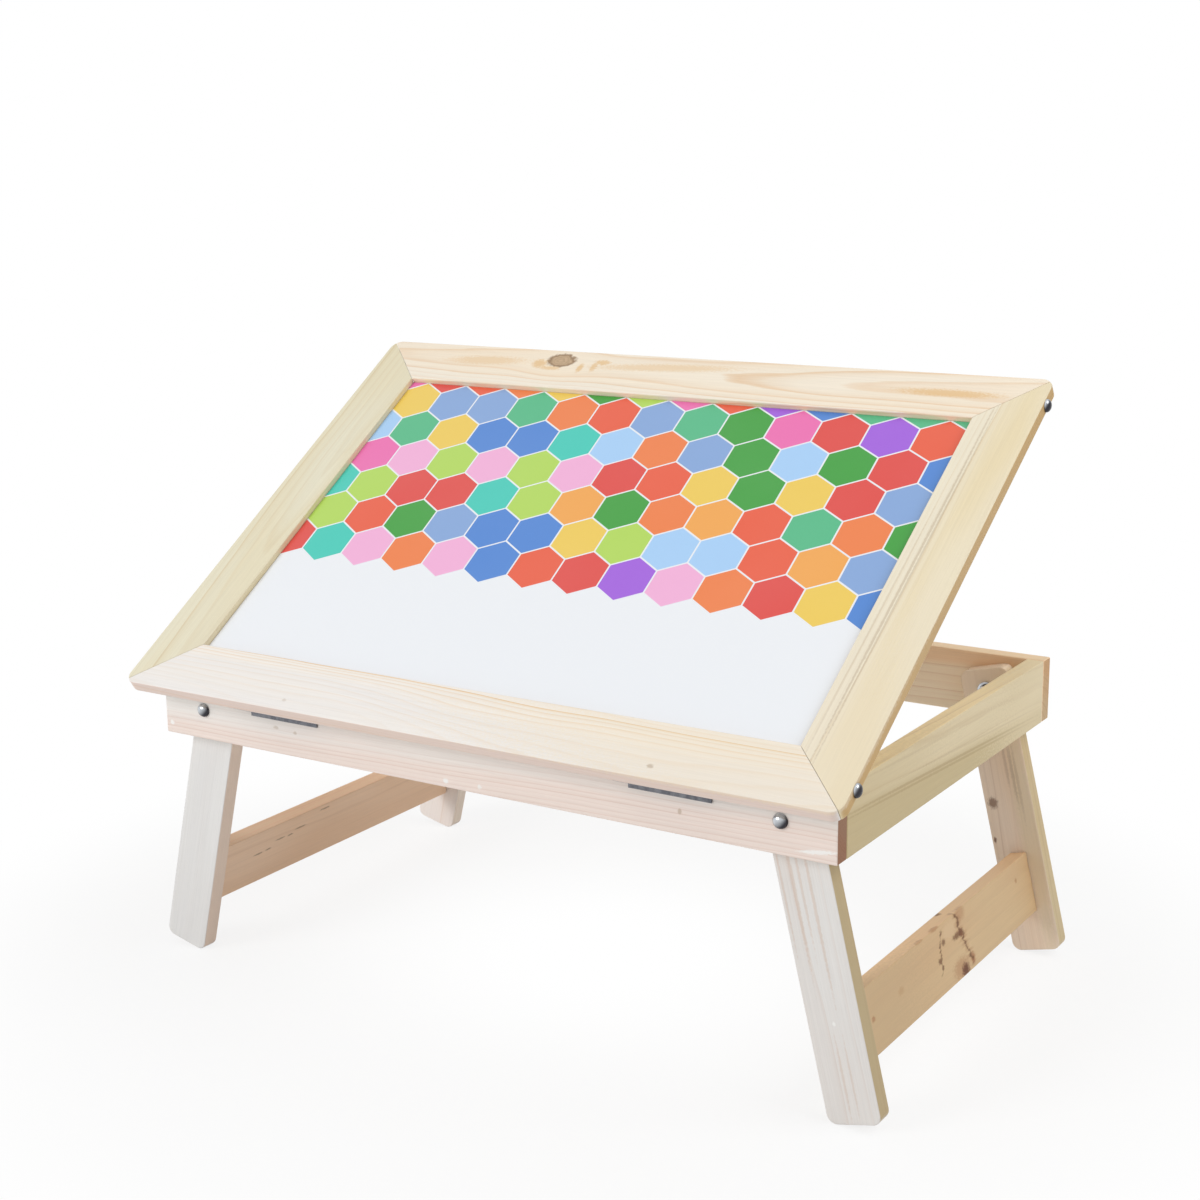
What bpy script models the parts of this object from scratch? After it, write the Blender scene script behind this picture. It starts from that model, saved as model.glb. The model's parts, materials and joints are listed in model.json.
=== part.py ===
"""Folding study table: a framed tray that tilts on a rail base with two folding leg pairs.

Metres, +Z up, the front of the table towards -Y. The origin is on the floor, under the middle
of the table as it stands with its legs open and its tray tilted.
"""

import math

import bmesh
import bpy
from mathutils import Matrix, Vector

# Tray: four mitred members round a thin writing board that lies on their ledge
TRAY_LENGTH = 0.610
TRAY_DEPTH = 0.420
TRAY_THICK = 0.010
MEMBER_WIDTH = 0.048
TRAY_CORNER_RADIUS = 0.010
BOARD_THICK = 0.003
BOARD_RECESS = 0.0045
LEDGE_WIDTH = 0.006
TRAY_TILT = math.radians(33.0)
FRONT_OVERHANG = 0.025

# Base: four rails, the front and rear ones running past the ends of the side ones
BASE_LENGTH = 0.580
BASE_DEPTH = 0.380
RAIL_HEIGHT = 0.050
RAIL_THICK = 0.014
RAIL_BOTTOM = 0.187

# Leg pairs: two legs joined by a flat stretcher
LEG_WIDTH = 0.040
LEG_THICK = 0.014
LEG_SPLAY = math.radians(13.5)
LEG_HEAD = 0.018
HEAD_RADIUS = 0.007
FOOT_RADIUS = 0.007
STRETCHER_WIDTH = 0.048
STRETCHER_THICK = 0.014
STRETCHER_DROP = 0.156

# Leg pivot hardware, a little below the middle of the rails
PIVOT_DROP = 0.0015
BOLT_RADIUS = 0.003
BOLT_HEAD_RADIUS = 0.0055
BOLT_HEAD_HEIGHT = 0.004
BOLT_TIP = 0.002
WASHER_RADIUS = 0.0075
WASHER_THICK = 0.0012
NUT_ACROSS_FLATS = 0.010
NUT_HEIGHT = 0.005

# Tray hinges: butt hinges in the corner of the front rail's face and the tray's overhang
HINGE_LENGTH = 0.064
HINGE_CENTRE = 0.1675
HINGE_STANDOFF = 0.003
LEAF_WIDTH = 0.0205
LEAF_THICK = 0.0012
KNUCKLES = 5
BARREL_RADIUS = 0.0025
HINGE_PIN_RADIUS = 0.0012
LEAF_SCREW_PITCH = 0.022
LEAF_SCREW_FROM_AXIS = 0.0125

# Tilt prop: a strut under the tray whose shoe stands on a bar across the base
BATTEN_WIDTH = 0.040
BATTEN_THICK = 0.0125
CLEVIS_THICK = 0.0015
CLEVIS_LENGTH = 0.018
PROP_WIDTH = 0.026
PROP_THICK = 0.010
PROP_PIN_FROM_HINGE = 0.166
PROP_LENGTH = 0.188
PROP_PIN_RADIUS = 0.002
PROP_PIN_HEAD_RADIUS = 0.0034
PROP_PIN_HEAD_THICK = 0.0014
SHOE_LENGTH = 0.010
REST_BAR_WIDTH = 0.040
REST_BAR_THICK = 0.014

# Fasteners
SCREW_RADIUS = 0.0014
SCREW_HEAD_RADIUS = 0.003
LEAF_SCREW_LENGTH = 0.009
CLEVIS_SCREW_LENGTH = 0.009
CLEVIS_SCREW_SPREAD = 0.0065
CORNER_SCREW_RADIUS = 0.0018
CORNER_SCREW_LENGTH = 0.036
CORNER_SCREW_HEAD_RADIUS = 0.005
CORNER_SCREW_HEAD_HEIGHT = 0.0034

# Clearances and edges
FIT = 0.0003
RUNNING_GAP = 0.0005
EDGE = 0.0008

# Places that follow from the sizes above
RAIL_TOP = RAIL_BOTTOM + RAIL_HEIGHT
PIVOT_LEVEL = RAIL_BOTTOM + RAIL_HEIGHT / 2 - PIVOT_DROP
HINGE_HEIGHT = RAIL_TOP + FIT - HINGE_STANDOFF
TRAY_FRONT = HINGE_STANDOFF - FRONT_OVERHANG
TRAY_REAR = TRAY_FRONT + TRAY_DEPTH
TRAY_UNDER = HINGE_STANDOFF
TRAY_TOP = TRAY_UNDER + TRAY_THICK
BOARD_TOP = TRAY_TOP - BOARD_RECESS
BOARD_UNDER = BOARD_TOP - BOARD_THICK
BATTEN_UNDER = BOARD_UNDER - FIT - BATTEN_THICK
CLEVIS_UNDER = BATTEN_UNDER - FIT - CLEVIS_THICK
PROP_PIN_LEVEL = CLEVIS_UNDER - RUNNING_GAP - PROP_THICK / 2
REST_BAR_TOP = HINGE_HEIGHT + PROP_PIN_LEVEL - PROP_THICK / 2 - RUNNING_GAP
LEG_FRONT = RAIL_THICK + RUNNING_GAP
LEG_BACK = LEG_FRONT + LEG_THICK
SIDE_RAIL_FACE = BASE_LENGTH / 2 - RAIL_THICK

# An open leg bears on the lower inner edge of the side rail, which sets the pivot's place
PIVOT_RISE = PIVOT_LEVEL - RAIL_BOTTOM
PIVOT_FROM_RAIL = (LEG_WIDTH / 2 + FIT + PIVOT_RISE * math.sin(LEG_SPLAY)) / math.cos(LEG_SPLAY)
PIVOT_X = SIDE_RAIL_FACE - PIVOT_FROM_RAIL

# The inner corner of the foot is the lowest, and its round touches the floor
FOOT_DROP = PIVOT_LEVEL - FOOT_RADIUS - (LEG_WIDTH / 2 - FOOT_RADIUS) * math.sin(LEG_SPLAY)
LEG_REACH = FOOT_RADIUS + FOOT_DROP / math.cos(LEG_SPLAY)

# The shoe stands at one height with the tray open and closed
PIN_RISE = (
    PROP_PIN_FROM_HINGE * math.sin(TRAY_TILT)
    + PROP_PIN_LEVEL * math.cos(TRAY_TILT)
    - PROP_PIN_LEVEL
)
PROP_SLOPE = math.asin(PIN_RISE / PROP_LENGTH)

# The table's depth runs from the tilted tray's front edge to the rear bolt heads
DEPTH_FRONT = TRAY_FRONT * math.cos(TRAY_TILT) - TRAY_TOP * math.sin(TRAY_TILT) - HINGE_STANDOFF
DEPTH_REAR = BASE_DEPTH + FIT + BOLT_HEAD_HEIGHT
DEPTH_MIDDLE = (DEPTH_FRONT + DEPTH_REAR) / 2

ROUND_SIDES = 20
SMALL_SIDES = 12
ARC_STEPS = 6
CORNER_STEPS = 4
SMOOTH_ANGLE = math.radians(35.0)

TURN_TO_BACK = Matrix.Rotation(-math.pi / 2, 4, "X")
TURN_TO_FRONT = Matrix.Rotation(math.pi / 2, 4, "X")
TURN_TO_RIGHT = Matrix.Rotation(math.pi / 2, 4, "Y")
TURN_TO_LEFT = Matrix.Rotation(-math.pi / 2, 4, "Y")


def clear_scene():
    """Remove whatever the scene holds."""
    for item in list(bpy.data.objects):
        bpy.data.objects.remove(item, do_unlink=True)


def make_material(name, colour, roughness, metallic=0.0):
    """Plain Principled material."""
    material = bpy.data.materials.new(name)
    material.use_nodes = True
    shader = material.node_tree.nodes["Principled BSDF"]
    shader.inputs["Base Color"].default_value = (*colour, 1.0)
    shader.inputs["Roughness"].default_value = roughness
    shader.inputs["Metallic"].default_value = metallic
    return material


def make_empty(name, place, turn=(0.0, 0.0, 0.0), parent=None):
    """Axis that carries the pieces of one body."""
    empty = bpy.data.objects.new(name, None)
    empty.empty_display_size = 0.03
    empty.location = place
    empty.rotation_euler = turn
    empty.parent = parent
    bpy.context.collection.objects.link(empty)
    return empty


def make_piece(name, shape, parent, material):
    """Named object from a shape, which is used up, shaded smooth over gentle turns only."""
    bmesh.ops.recalc_face_normals(shape, faces=shape.faces)
    mesh = bpy.data.meshes.new(name)
    shape.to_mesh(mesh)
    shape.free()
    mesh.materials.append(material)
    mesh.shade_smooth()
    mesh.set_sharp_from_angle(angle=SMOOTH_ANGLE)
    piece = bpy.data.objects.new(name, mesh)
    piece.parent = parent
    bpy.context.collection.objects.link(piece)
    return piece


def combine(piece, shape, operation):
    """Boolean of a piece with a shape given in the piece's own frame."""
    tool = make_piece("tool", shape, piece.parent, piece.data.materials[0])
    tool.hide_render = True
    tool.display_type = "WIRE"
    modifier = piece.modifiers.new("combine", "BOOLEAN")
    modifier.operation = operation
    modifier.solver = "EXACT"
    modifier.object = tool
    bpy.context.view_layer.update()
    evaluated = piece.evaluated_get(bpy.context.evaluated_depsgraph_get())
    plain = piece.data
    result = bpy.data.meshes.new_from_object(evaluated)
    piece.modifiers.remove(modifier)
    piece.data = result
    bpy.data.meshes.remove(plain)
    result.name = piece.name
    result.set_sharp_from_angle(angle=SMOOTH_ANGLE)
    bpy.data.objects.remove(tool, do_unlink=True)


def gather(shapes):
    """One shape that holds several as separate bodies; the given ones are used up."""
    whole = bmesh.new()
    for shape in shapes:
        mesh = bpy.data.meshes.new("gather")
        bmesh.ops.recalc_face_normals(shape, faces=shape.faces)
        shape.to_mesh(mesh)
        shape.free()
        whole.from_mesh(mesh)
        bpy.data.meshes.remove(mesh)
    return whole


def moved(shape, place, turn=None):
    """Turn a shape about its origin, then move it."""
    matrix = Matrix.Translation(Vector(place)) @ (turn or Matrix.Identity(4))
    bmesh.ops.transform(shape, matrix=matrix, verts=shape.verts)
    return shape


def ease(shape, spared=()):
    """Round the sharp edges of a shape, apart from the spared ones."""
    sharp = [edge for edge in shape.edges if edge.calc_face_angle(0.0) > SMOOTH_ANGLE]
    bmesh.ops.bevel(
        shape,
        geom=[edge for edge in sharp if edge not in spared],
        offset=EDGE,
        offset_type="OFFSET",
        segments=2,
        profile=0.5,
        affect="EDGES",
        clamp_overlap=True,
    )
    return shape


def prism(outline, low, high, along):
    """Outline pushed from one level to another along an axis.

    The outline's two numbers are the two other axes, in X, Y, Z order.
    """
    order = {"X": (2, 0, 1), "Y": (0, 2, 1), "Z": (0, 1, 2)}[along]
    shape = bmesh.new()

    def ring(level):
        corners = [(first, second, level) for first, second in outline]
        return [shape.verts.new([corner[index] for index in order]) for corner in corners]

    start = ring(low)
    end = ring(high)
    shape.faces.new(start)
    shape.faces.new(end)
    for index in range(len(outline)):
        after = (index + 1) % len(outline)
        shape.faces.new((start[index], start[after], end[after], end[index]))
    bmesh.ops.recalc_face_normals(shape, faces=shape.faces)
    return shape


def block(x_span, y_span, z_span):
    """Rectangular block between two levels on each axis."""
    left, right = x_span
    near, far = y_span
    outline = [(left, near), (right, near), (right, far), (left, far)]
    return prism(outline, z_span[0], z_span[1], "Z")


def arc(centre, radius, start, end, steps=ARC_STEPS):
    """Points of an arc, from one angle to another."""
    points = []
    for step in range(steps + 1):
        angle = start + (end - start) * step / steps
        points.append((centre[0] + radius * math.cos(angle), centre[1] + radius * math.sin(angle)))
    return points


def turned(profile, sides=ROUND_SIDES):
    """Solid of revolution round Z from a (radius, height) profile that starts and ends on the axis."""
    shape = bmesh.new()
    rings = []
    for radius, height in profile:
        if radius == 0.0:
            rings.append([shape.verts.new((0.0, 0.0, height))])
            continue
        angles = [2 * math.pi * index / sides for index in range(sides)]
        ring = [shape.verts.new((radius * math.cos(a), radius * math.sin(a), height)) for a in angles]
        rings.append(ring)
    for lower, upper in zip(rings, rings[1:]):
        for index in range(sides):
            after = (index + 1) % sides
            corners = [lower[index % len(lower)], lower[after % len(lower)]]
            corners += [upper[after % len(upper)], upper[index % len(upper)]]
            shape.faces.new(list(dict.fromkeys(corners)))
    bmesh.ops.recalc_face_normals(shape, faces=shape.faces)
    return shape


def rod(radius, low, high, sides=ROUND_SIDES):
    """Plain round rod along Z."""
    return turned([(0.0, low), (radius, low), (radius, high), (0.0, high)], sides)


def dome_profile(radius, height, steps=CORNER_STEPS):
    """Profile of a domed head that stands below height zero, from its crown to its rim."""
    points = [(0.0, -height)]
    for step in range(1, steps + 1):
        angle = math.pi / 2 * step / steps
        points.append((radius * math.sin(angle), -height * math.cos(angle)))
    return points


def wood_screw(length, spare=0.0):
    """Countersunk screw with its head's face at zero, pointing up; spare grows it into its own hole."""
    taper = SCREW_HEAD_RADIUS - SCREW_RADIUS
    mouth = [(0.0, -spare), (SCREW_HEAD_RADIUS + spare, -spare)] if spare else [(0.0, 0.0)]
    body = [
        (SCREW_HEAD_RADIUS + spare, 0.0),
        (SCREW_RADIUS + spare, taper),
        (SCREW_RADIUS + spare, length - 2 * SCREW_RADIUS),
        (0.0, length + spare),
    ]
    return turned(mouth + body, SMALL_SIDES)


def wood_screws(places, length, turn=None, spare=0.0):
    """Row of countersunk screws, or of their holes."""
    return [moved(wood_screw(length, spare), place, turn) for place in places]


def corner_screw(spare=0.0):
    """Domed screw for a tray corner, its head below zero and its shank pointing up."""
    radius = CORNER_SCREW_RADIUS + spare
    head = dome_profile(CORNER_SCREW_HEAD_RADIUS, CORNER_SCREW_HEAD_HEIGHT) + [(radius, 0.0)]
    mouth = [(0.0, -2 * spare), (radius, -2 * spare)]
    shank = [(radius, CORNER_SCREW_LENGTH - 2 * CORNER_SCREW_RADIUS), (0.0, CORNER_SCREW_LENGTH + spare)]
    return turned((mouth if spare else head) + shank, SMALL_SIDES)


def sunk_corner_screw(spare=0.0):
    """Countersunk screw for a tray corner, its head's face at zero and its shank pointing up."""
    return wood_screw(CORNER_SCREW_LENGTH, spare)


clear_scene()

pine = make_material("pine", (0.80, 0.68, 0.49), 0.55)
pine_rail = make_material("pine_rail", (0.76, 0.62, 0.50), 0.58)
pine_leg = make_material("pine_leg", (0.76, 0.70, 0.60), 0.58)
pine_stretcher = make_material("pine_stretcher", (0.60, 0.42, 0.27), 0.6)
laminate = make_material("laminate", (0.86, 0.88, 0.92), 0.35)
zinc = make_material("zinc", (0.62, 0.64, 0.67), 0.3, 1.0)
rubber = make_material("rubber", (0.05, 0.05, 0.05), 0.8)

table = make_empty("table", (0.0, -DEPTH_MIDDLE, 0.0))
tray_axis = make_empty("tray_axis", (0.0, -HINGE_STANDOFF, HINGE_HEIGHT), (TRAY_TILT, 0.0, 0.0), table)
prop_place = (0.0, PROP_PIN_FROM_HINGE, PROP_PIN_LEVEL)
prop_axis = make_empty("prop_axis", prop_place, (-TRAY_TILT - PROP_SLOPE, 0.0, 0.0), tray_axis)

# Base rails with their holes
leaf_face = HINGE_STANDOFF - FIT - LEAF_THICK
screw_row = (-LEAF_SCREW_PITCH, 0.0, LEAF_SCREW_PITCH)


def leaf_screw_places(side, rolled):
    """Head faces of one leaf's screws, from the hinge axis; rolled is the leaf under the tray."""
    spots = [(side * HINGE_CENTRE + x, leaf_face, -LEAF_SCREW_FROM_AXIS) for x in screw_row]
    return [(x, z, y) for x, y, z in spots] if rolled else spots


def base_rail(name, near, far):
    """Front or rear rail with its two bolt holes."""
    shape = block((-BASE_LENGTH / 2, BASE_LENGTH / 2), (near, far), (RAIL_BOTTOM, RAIL_TOP))
    rail = make_piece(name, ease(shape), table, pine_rail)
    holes = []
    for side in (-1, 1):
        hole = rod(BOLT_RADIUS + FIT, -far - RUNNING_GAP, -near + RUNNING_GAP)
        holes.append(moved(hole, (side * PIVOT_X, 0.0, PIVOT_LEVEL), TURN_TO_FRONT))
    combine(rail, gather(holes), "DIFFERENCE")
    return rail


front_rail = base_rail("front_rail", 0.0, RAIL_THICK)
hinge_holes = []
for side in (-1, 1):
    places = leaf_screw_places(side, False)
    hinge_holes += wood_screws(places, LEAF_SCREW_LENGTH, TURN_TO_BACK, FIT)
hinge_holes = gather(hinge_holes)
combine(front_rail, moved(hinge_holes, (0.0, -HINGE_STANDOFF, HINGE_HEIGHT)), "DIFFERENCE")
base_rail("rear_rail", BASE_DEPTH - RAIL_THICK, BASE_DEPTH)

between_rails = (RAIL_THICK + FIT, BASE_DEPTH - RAIL_THICK - FIT)
for name, side in (("left_rail", -1), ("right_rail", 1)):
    faces = sorted((side * SIDE_RAIL_FACE, side * BASE_LENGTH / 2))
    make_piece(name, ease(block(faces, between_rails, (RAIL_BOTTOM, RAIL_TOP))), table, pine_rail)

# Bar from front to rear that the prop's shoe stands on
bar_faces = (-REST_BAR_WIDTH / 2, REST_BAR_WIDTH / 2)
bar_levels = (REST_BAR_TOP - REST_BAR_THICK, REST_BAR_TOP)
make_piece("prop_rest_bar", ease(block(bar_faces, between_rails, bar_levels)), table, pine_rail)

# Leg pivot bolts, washers and nuts, heads outside and nuts on the legs' inner faces
WASHER_START = LEG_BACK + 2 * FIT
NUT_START = WASHER_START + WASHER_THICK + FIT
BOLT_REACH = NUT_START + NUT_HEIGHT + BOLT_TIP
bolt_profile = dome_profile(BOLT_HEAD_RADIUS, BOLT_HEAD_HEIGHT)
bolt_profile += [
    (BOLT_RADIUS, 0.0),
    (BOLT_RADIUS, BOLT_REACH - EDGE),
    (BOLT_RADIUS - EDGE, BOLT_REACH),
    (0.0, BOLT_REACH),
]
nut_corner = NUT_ACROSS_FLATS / 2 / math.cos(math.pi / 6)
nut_outline = arc((0.0, 0.0), nut_corner, 0.0, 2 * math.pi, 6)[:-1]
for end, depth, turn in (("front", -FIT, TURN_TO_BACK), ("rear", BASE_DEPTH + FIT, TURN_TO_FRONT)):
    for hand, side in (("left", -1), ("right", 1)):
        pivot = (side * PIVOT_X, depth, PIVOT_LEVEL)
        make_piece(f"{end}_{hand}_pivot_bolt", moved(turned(bolt_profile), pivot, turn), table, zinc)
        washer = rod(WASHER_RADIUS, WASHER_START, WASHER_START + WASHER_THICK)
        washer = make_piece(f"{end}_{hand}_washer", moved(washer, pivot, turn), table, zinc)
        nut = prism(nut_outline, NUT_START, NUT_START + NUT_HEIGHT, "Z")
        nut = make_piece(f"{end}_{hand}_nut", moved(nut, pivot, turn), table, zinc)
        for ring in (washer, nut):
            bore = rod(BOLT_RADIUS + FIT, 0.0, BOLT_REACH)
            combine(ring, moved(bore, pivot, turn), "DIFFERENCE")

# Tray hinges
KNUCKLE_PITCH = HINGE_LENGTH / KNUCKLES
ROLL_FORWARD = Matrix(((-1, 0, 0, 0), (0, 0, 1, 0), (0, 1, 0, 0), (0, 0, 0, 1)))


def knuckle_span(index, gap):
    """Ends of one knuckle along the barrel, drawn in by a gap where it meets a neighbour."""
    low = -HINGE_LENGTH / 2 + index * KNUCKLE_PITCH
    high = low + KNUCKLE_PITCH
    return (low + (gap if index > 0 else 0.0), high - (gap if index < KNUCKLES - 1 else 0.0))


def hinge_leaf(name, side, own, axis, rolled):
    """Leaf hanging from the barrel against a face behind it; rolled lays it forward under the tray."""
    outline = [(HINGE_LENGTH / 2, -LEAF_WIDTH), (-HINGE_LENGTH / 2, -LEAF_WIDTH)]
    barrels = []
    for index in range(KNUCKLES):
        mine = index in own
        low, high = knuckle_span(index, FIT / 2 if mine else -FIT / 2)
        level = 0.0 if mine else -BARREL_RADIUS - FIT
        outline += [(low, level), (high, level)]
        if mine:
            barrels.append(rod(BARREL_RADIUS, low, high, SMALL_SIDES))
    plate = prism(outline, leaf_face, leaf_face + LEAF_THICK, "Y")
    barrel = moved(gather(barrels), (0.0, 0.0, 0.0), TURN_TO_RIGHT)
    bore = rod(HINGE_PIN_RADIUS + FIT, -HINGE_LENGTH, HINGE_LENGTH, SMALL_SIDES)
    bore = moved(bore, (0.0, 0.0, 0.0), TURN_TO_RIGHT)
    holes = gather(wood_screws(leaf_screw_places(0.0, False), LEAF_SCREW_LENGTH, TURN_TO_BACK, FIT))
    place = (side * HINGE_CENTRE, 0.0, 0.0)
    turn = ROLL_FORWARD if rolled else None
    plate, barrel, bore, holes = [moved(shape, place, turn) for shape in (plate, barrel, bore, holes)]
    leaf = make_piece(name, plate, axis, zinc)
    combine(leaf, barrel, "UNION")
    combine(leaf, bore, "DIFFERENCE")
    combine(leaf, holes, "DIFFERENCE")


hinge_line = make_empty("hinge_line", (0.0, -HINGE_STANDOFF, HINGE_HEIGHT), parent=table)
for hand, side in (("left", -1), ("right", 1)):
    hinge_leaf(f"{hand}_hinge_rail_leaf", side, range(0, KNUCKLES, 2), hinge_line, False)
    hinge_leaf(f"{hand}_hinge_tray_leaf", side, range(1, KNUCKLES, 2), tray_axis, True)
    pin = rod(HINGE_PIN_RADIUS, -HINGE_LENGTH / 2, HINGE_LENGTH / 2, SMALL_SIDES)
    pin = moved(pin, (side * HINGE_CENTRE, 0.0, 0.0), TURN_TO_RIGHT)
    make_piece(f"{hand}_hinge_pin", pin, hinge_line, zinc)
    rail_screws = wood_screws(leaf_screw_places(side, False), LEAF_SCREW_LENGTH, TURN_TO_BACK)
    for number, screw in enumerate(rail_screws, 1):
        make_piece(f"{hand}_rail_leaf_screw_{number}", screw, hinge_line, zinc)
    tray_screws = wood_screws(leaf_screw_places(side, True), LEAF_SCREW_LENGTH)
    for number, screw in enumerate(tray_screws, 1):
        make_piece(f"{hand}_tray_leaf_screw_{number}", screw, tray_axis, zinc)

# Tray members, mitred at the corners, with a ledge for the board
tray_middle = (TRAY_FRONT + TRAY_REAR) / 2
half_length = TRAY_LENGTH / 2
half_depth = TRAY_DEPTH / 2
opening_x = half_length - MEMBER_WIDTH
opening_y = half_depth - MEMBER_WIDTH
mitre_gap = FIT / math.sqrt(2)


def member_outline(half_run):
    """Plan of a member along X with its outer edge at y = 0 and its corners rounded up to the mitre."""
    centre = (half_run - TRAY_CORNER_RADIUS, TRAY_CORNER_RADIUS)
    right = arc(centre, TRAY_CORNER_RADIUS, -math.pi / 2, -math.pi / 4, CORNER_STEPS)
    tip_x, tip_y = right.pop()
    inner_edge = MEMBER_WIDTH + LEDGE_WIDTH
    right += [(tip_x - mitre_gap, tip_y), (half_run - inner_edge - mitre_gap, inner_edge)]
    return right + [(-x, y) for x, y in reversed(right)]


def tray_member(name, half_run, half_across, turn):
    """Member pushed through the tray's thickness, then cut down to its ledge inside the opening."""
    shape = prism(member_outline(half_run), TRAY_UNDER, TRAY_TOP, "Z")
    mitred = []
    for edge in shape.edges:
        from_mitre = [abs(vert.co.x) + vert.co.y - half_run + mitre_gap for vert in edge.verts]
        if max(map(abs, from_mitre)) < mitre_gap / 2:
            mitred.append(edge)
    shape = moved(ease(shape, mitred), (0.0, -half_across, 0.0))
    shape = moved(shape, (0.0, tray_middle, 0.0), Matrix.Rotation(turn, 4, "Z"))
    member = make_piece(name, shape, tray_axis, pine)
    opening = block(
        (-opening_x, opening_x),
        (tray_middle - opening_y, tray_middle + opening_y),
        (BOARD_UNDER - FIT, TRAY_TOP + RUNNING_GAP),
    )
    combine(member, opening, "DIFFERENCE")
    return member


members = {
    "front": tray_member("tray_front_member", half_length, half_depth, 0.0),
    "rear": tray_member("tray_rear_member", half_length, half_depth, math.pi),
    "left": tray_member("tray_left_member", half_depth, half_length, -math.pi / 2),
    "right": tray_member("tray_right_member", half_depth, half_length, math.pi / 2),
}

# Screws through the mitres from the sides: domed heads stand on the right edge, the left ones are sunk
screw_level = (TRAY_UNDER + TRAY_TOP) / 2
corner_screws = (
    ("left", -1, TURN_TO_RIGHT, sunk_corner_screw, 0.0),
    ("right", 1, TURN_TO_LEFT, corner_screw, FIT),
)
for hand, side, turn, screw, stand in corner_screws:
    for end, way in (("front", -1), ("rear", 1)):
        row = tray_middle + way * (half_depth - MEMBER_WIDTH / 2)
        place = (side * (half_length + stand), row, screw_level)
        for member in (members[hand], members[end]):
            combine(member, moved(screw(FIT), place, turn), "DIFFERENCE")
        make_piece(f"{end}_{hand}_tray_screw", moved(screw(), place, turn), tray_axis, zinc)
hinge_holes = []
for side in (-1, 1):
    hinge_holes += wood_screws(leaf_screw_places(side, True), LEAF_SCREW_LENGTH, None, FIT)
combine(members["front"], gather(hinge_holes), "DIFFERENCE")

board = block(
    (FIT - opening_x, opening_x - FIT),
    (tray_middle - opening_y + FIT, tray_middle + opening_y - FIT),
    (BOARD_UNDER, BOARD_TOP),
)
make_piece("writing_board", board, tray_axis, laminate)

# Batten under the board from ledge to ledge, the clevis on it and the prop
half_batten = BATTEN_WIDTH / 2
batten_reach = opening_y - LEDGE_WIDTH - FIT
batten_span = (tray_middle - batten_reach, tray_middle + batten_reach)
batten_shape = block((-half_batten, half_batten), batten_span, (BATTEN_UNDER, BOARD_UNDER - FIT))
batten = make_piece("tray_batten", ease(batten_shape), tray_axis, pine)

cheek_inner = PROP_WIDTH / 2 + RUNNING_GAP
cheek_outer = cheek_inner + CLEVIS_THICK
cheek_low = PROP_PIN_LEVEL - PROP_PIN_HEAD_RADIUS - CLEVIS_THICK
clevis_top = CLEVIS_UNDER + CLEVIS_THICK
clevis_outline = [
    (-cheek_outer, cheek_low),
    (-cheek_inner, cheek_low),
    (-cheek_inner, CLEVIS_UNDER),
    (cheek_inner, CLEVIS_UNDER),
    (cheek_inner, cheek_low),
    (cheek_outer, cheek_low),
    (cheek_outer, clevis_top),
    (-cheek_outer, clevis_top),
]
clevis_front = PROP_PIN_FROM_HINGE - CLEVIS_LENGTH / 2
clevis_shape = prism(clevis_outline, clevis_front, clevis_front + CLEVIS_LENGTH, "Y")
clevis = make_piece("prop_clevis", clevis_shape, tray_axis, zinc)
clevis_screws = [(side * CLEVIS_SCREW_SPREAD, PROP_PIN_FROM_HINGE, CLEVIS_UNDER) for side in (-1, 1)]
for piece in (clevis, batten):
    holes = wood_screws(clevis_screws, CLEVIS_SCREW_LENGTH, None, FIT)
    combine(piece, gather(holes), "DIFFERENCE")
pin_hole = rod(PROP_PIN_RADIUS + FIT, -PROP_WIDTH, PROP_WIDTH, SMALL_SIDES)
combine(clevis, moved(pin_hole, prop_place, TURN_TO_RIGHT), "DIFFERENCE")
for number, screw in enumerate(wood_screws(clevis_screws, CLEVIS_SCREW_LENGTH), 1):
    make_piece(f"clevis_screw_{number}", screw, tray_axis, zinc)

pin_reach = cheek_outer + FIT
head_reach = pin_reach + PROP_PIN_HEAD_THICK
pin_profile = [
    (0.0, -head_reach),
    (PROP_PIN_HEAD_RADIUS - EDGE, -head_reach),
    (PROP_PIN_HEAD_RADIUS, -head_reach + EDGE),
    (PROP_PIN_HEAD_RADIUS, -pin_reach),
    (PROP_PIN_RADIUS, -pin_reach),
]
pin_profile += [(radius, -height) for radius, height in reversed(pin_profile)]
prop_pin = moved(turned(pin_profile, SMALL_SIDES), prop_place, TURN_TO_RIGHT)
make_piece("prop_pin", prop_pin, tray_axis, zinc)

prop_half = PROP_THICK / 2
strut_end = PROP_LENGTH - SHOE_LENGTH
strut_outline = arc((0.0, 0.0), prop_half, math.pi / 2, 3 * math.pi / 2)
strut_outline += [(strut_end, -prop_half), (strut_end, prop_half)]
strut_shape = ease(prism(strut_outline, -PROP_WIDTH / 2, PROP_WIDTH / 2, "X"))
strut = make_piece("prop_strut", strut_shape, prop_axis, pine)
strut_hole = rod(PROP_PIN_RADIUS + FIT, -PROP_WIDTH, PROP_WIDTH, SMALL_SIDES)
combine(strut, moved(strut_hole, (0.0, 0.0, 0.0), TURN_TO_RIGHT), "DIFFERENCE")
shoe_outline = arc((PROP_LENGTH, 0.0), prop_half, -math.pi / 2, math.pi / 2)
shoe_outline += [(strut_end + FIT, prop_half), (strut_end + FIT, -prop_half)]
make_piece("prop_shoe", prism(shoe_outline, -PROP_WIDTH / 2, PROP_WIDTH / 2, "X"), prop_axis, rubber)

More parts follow.
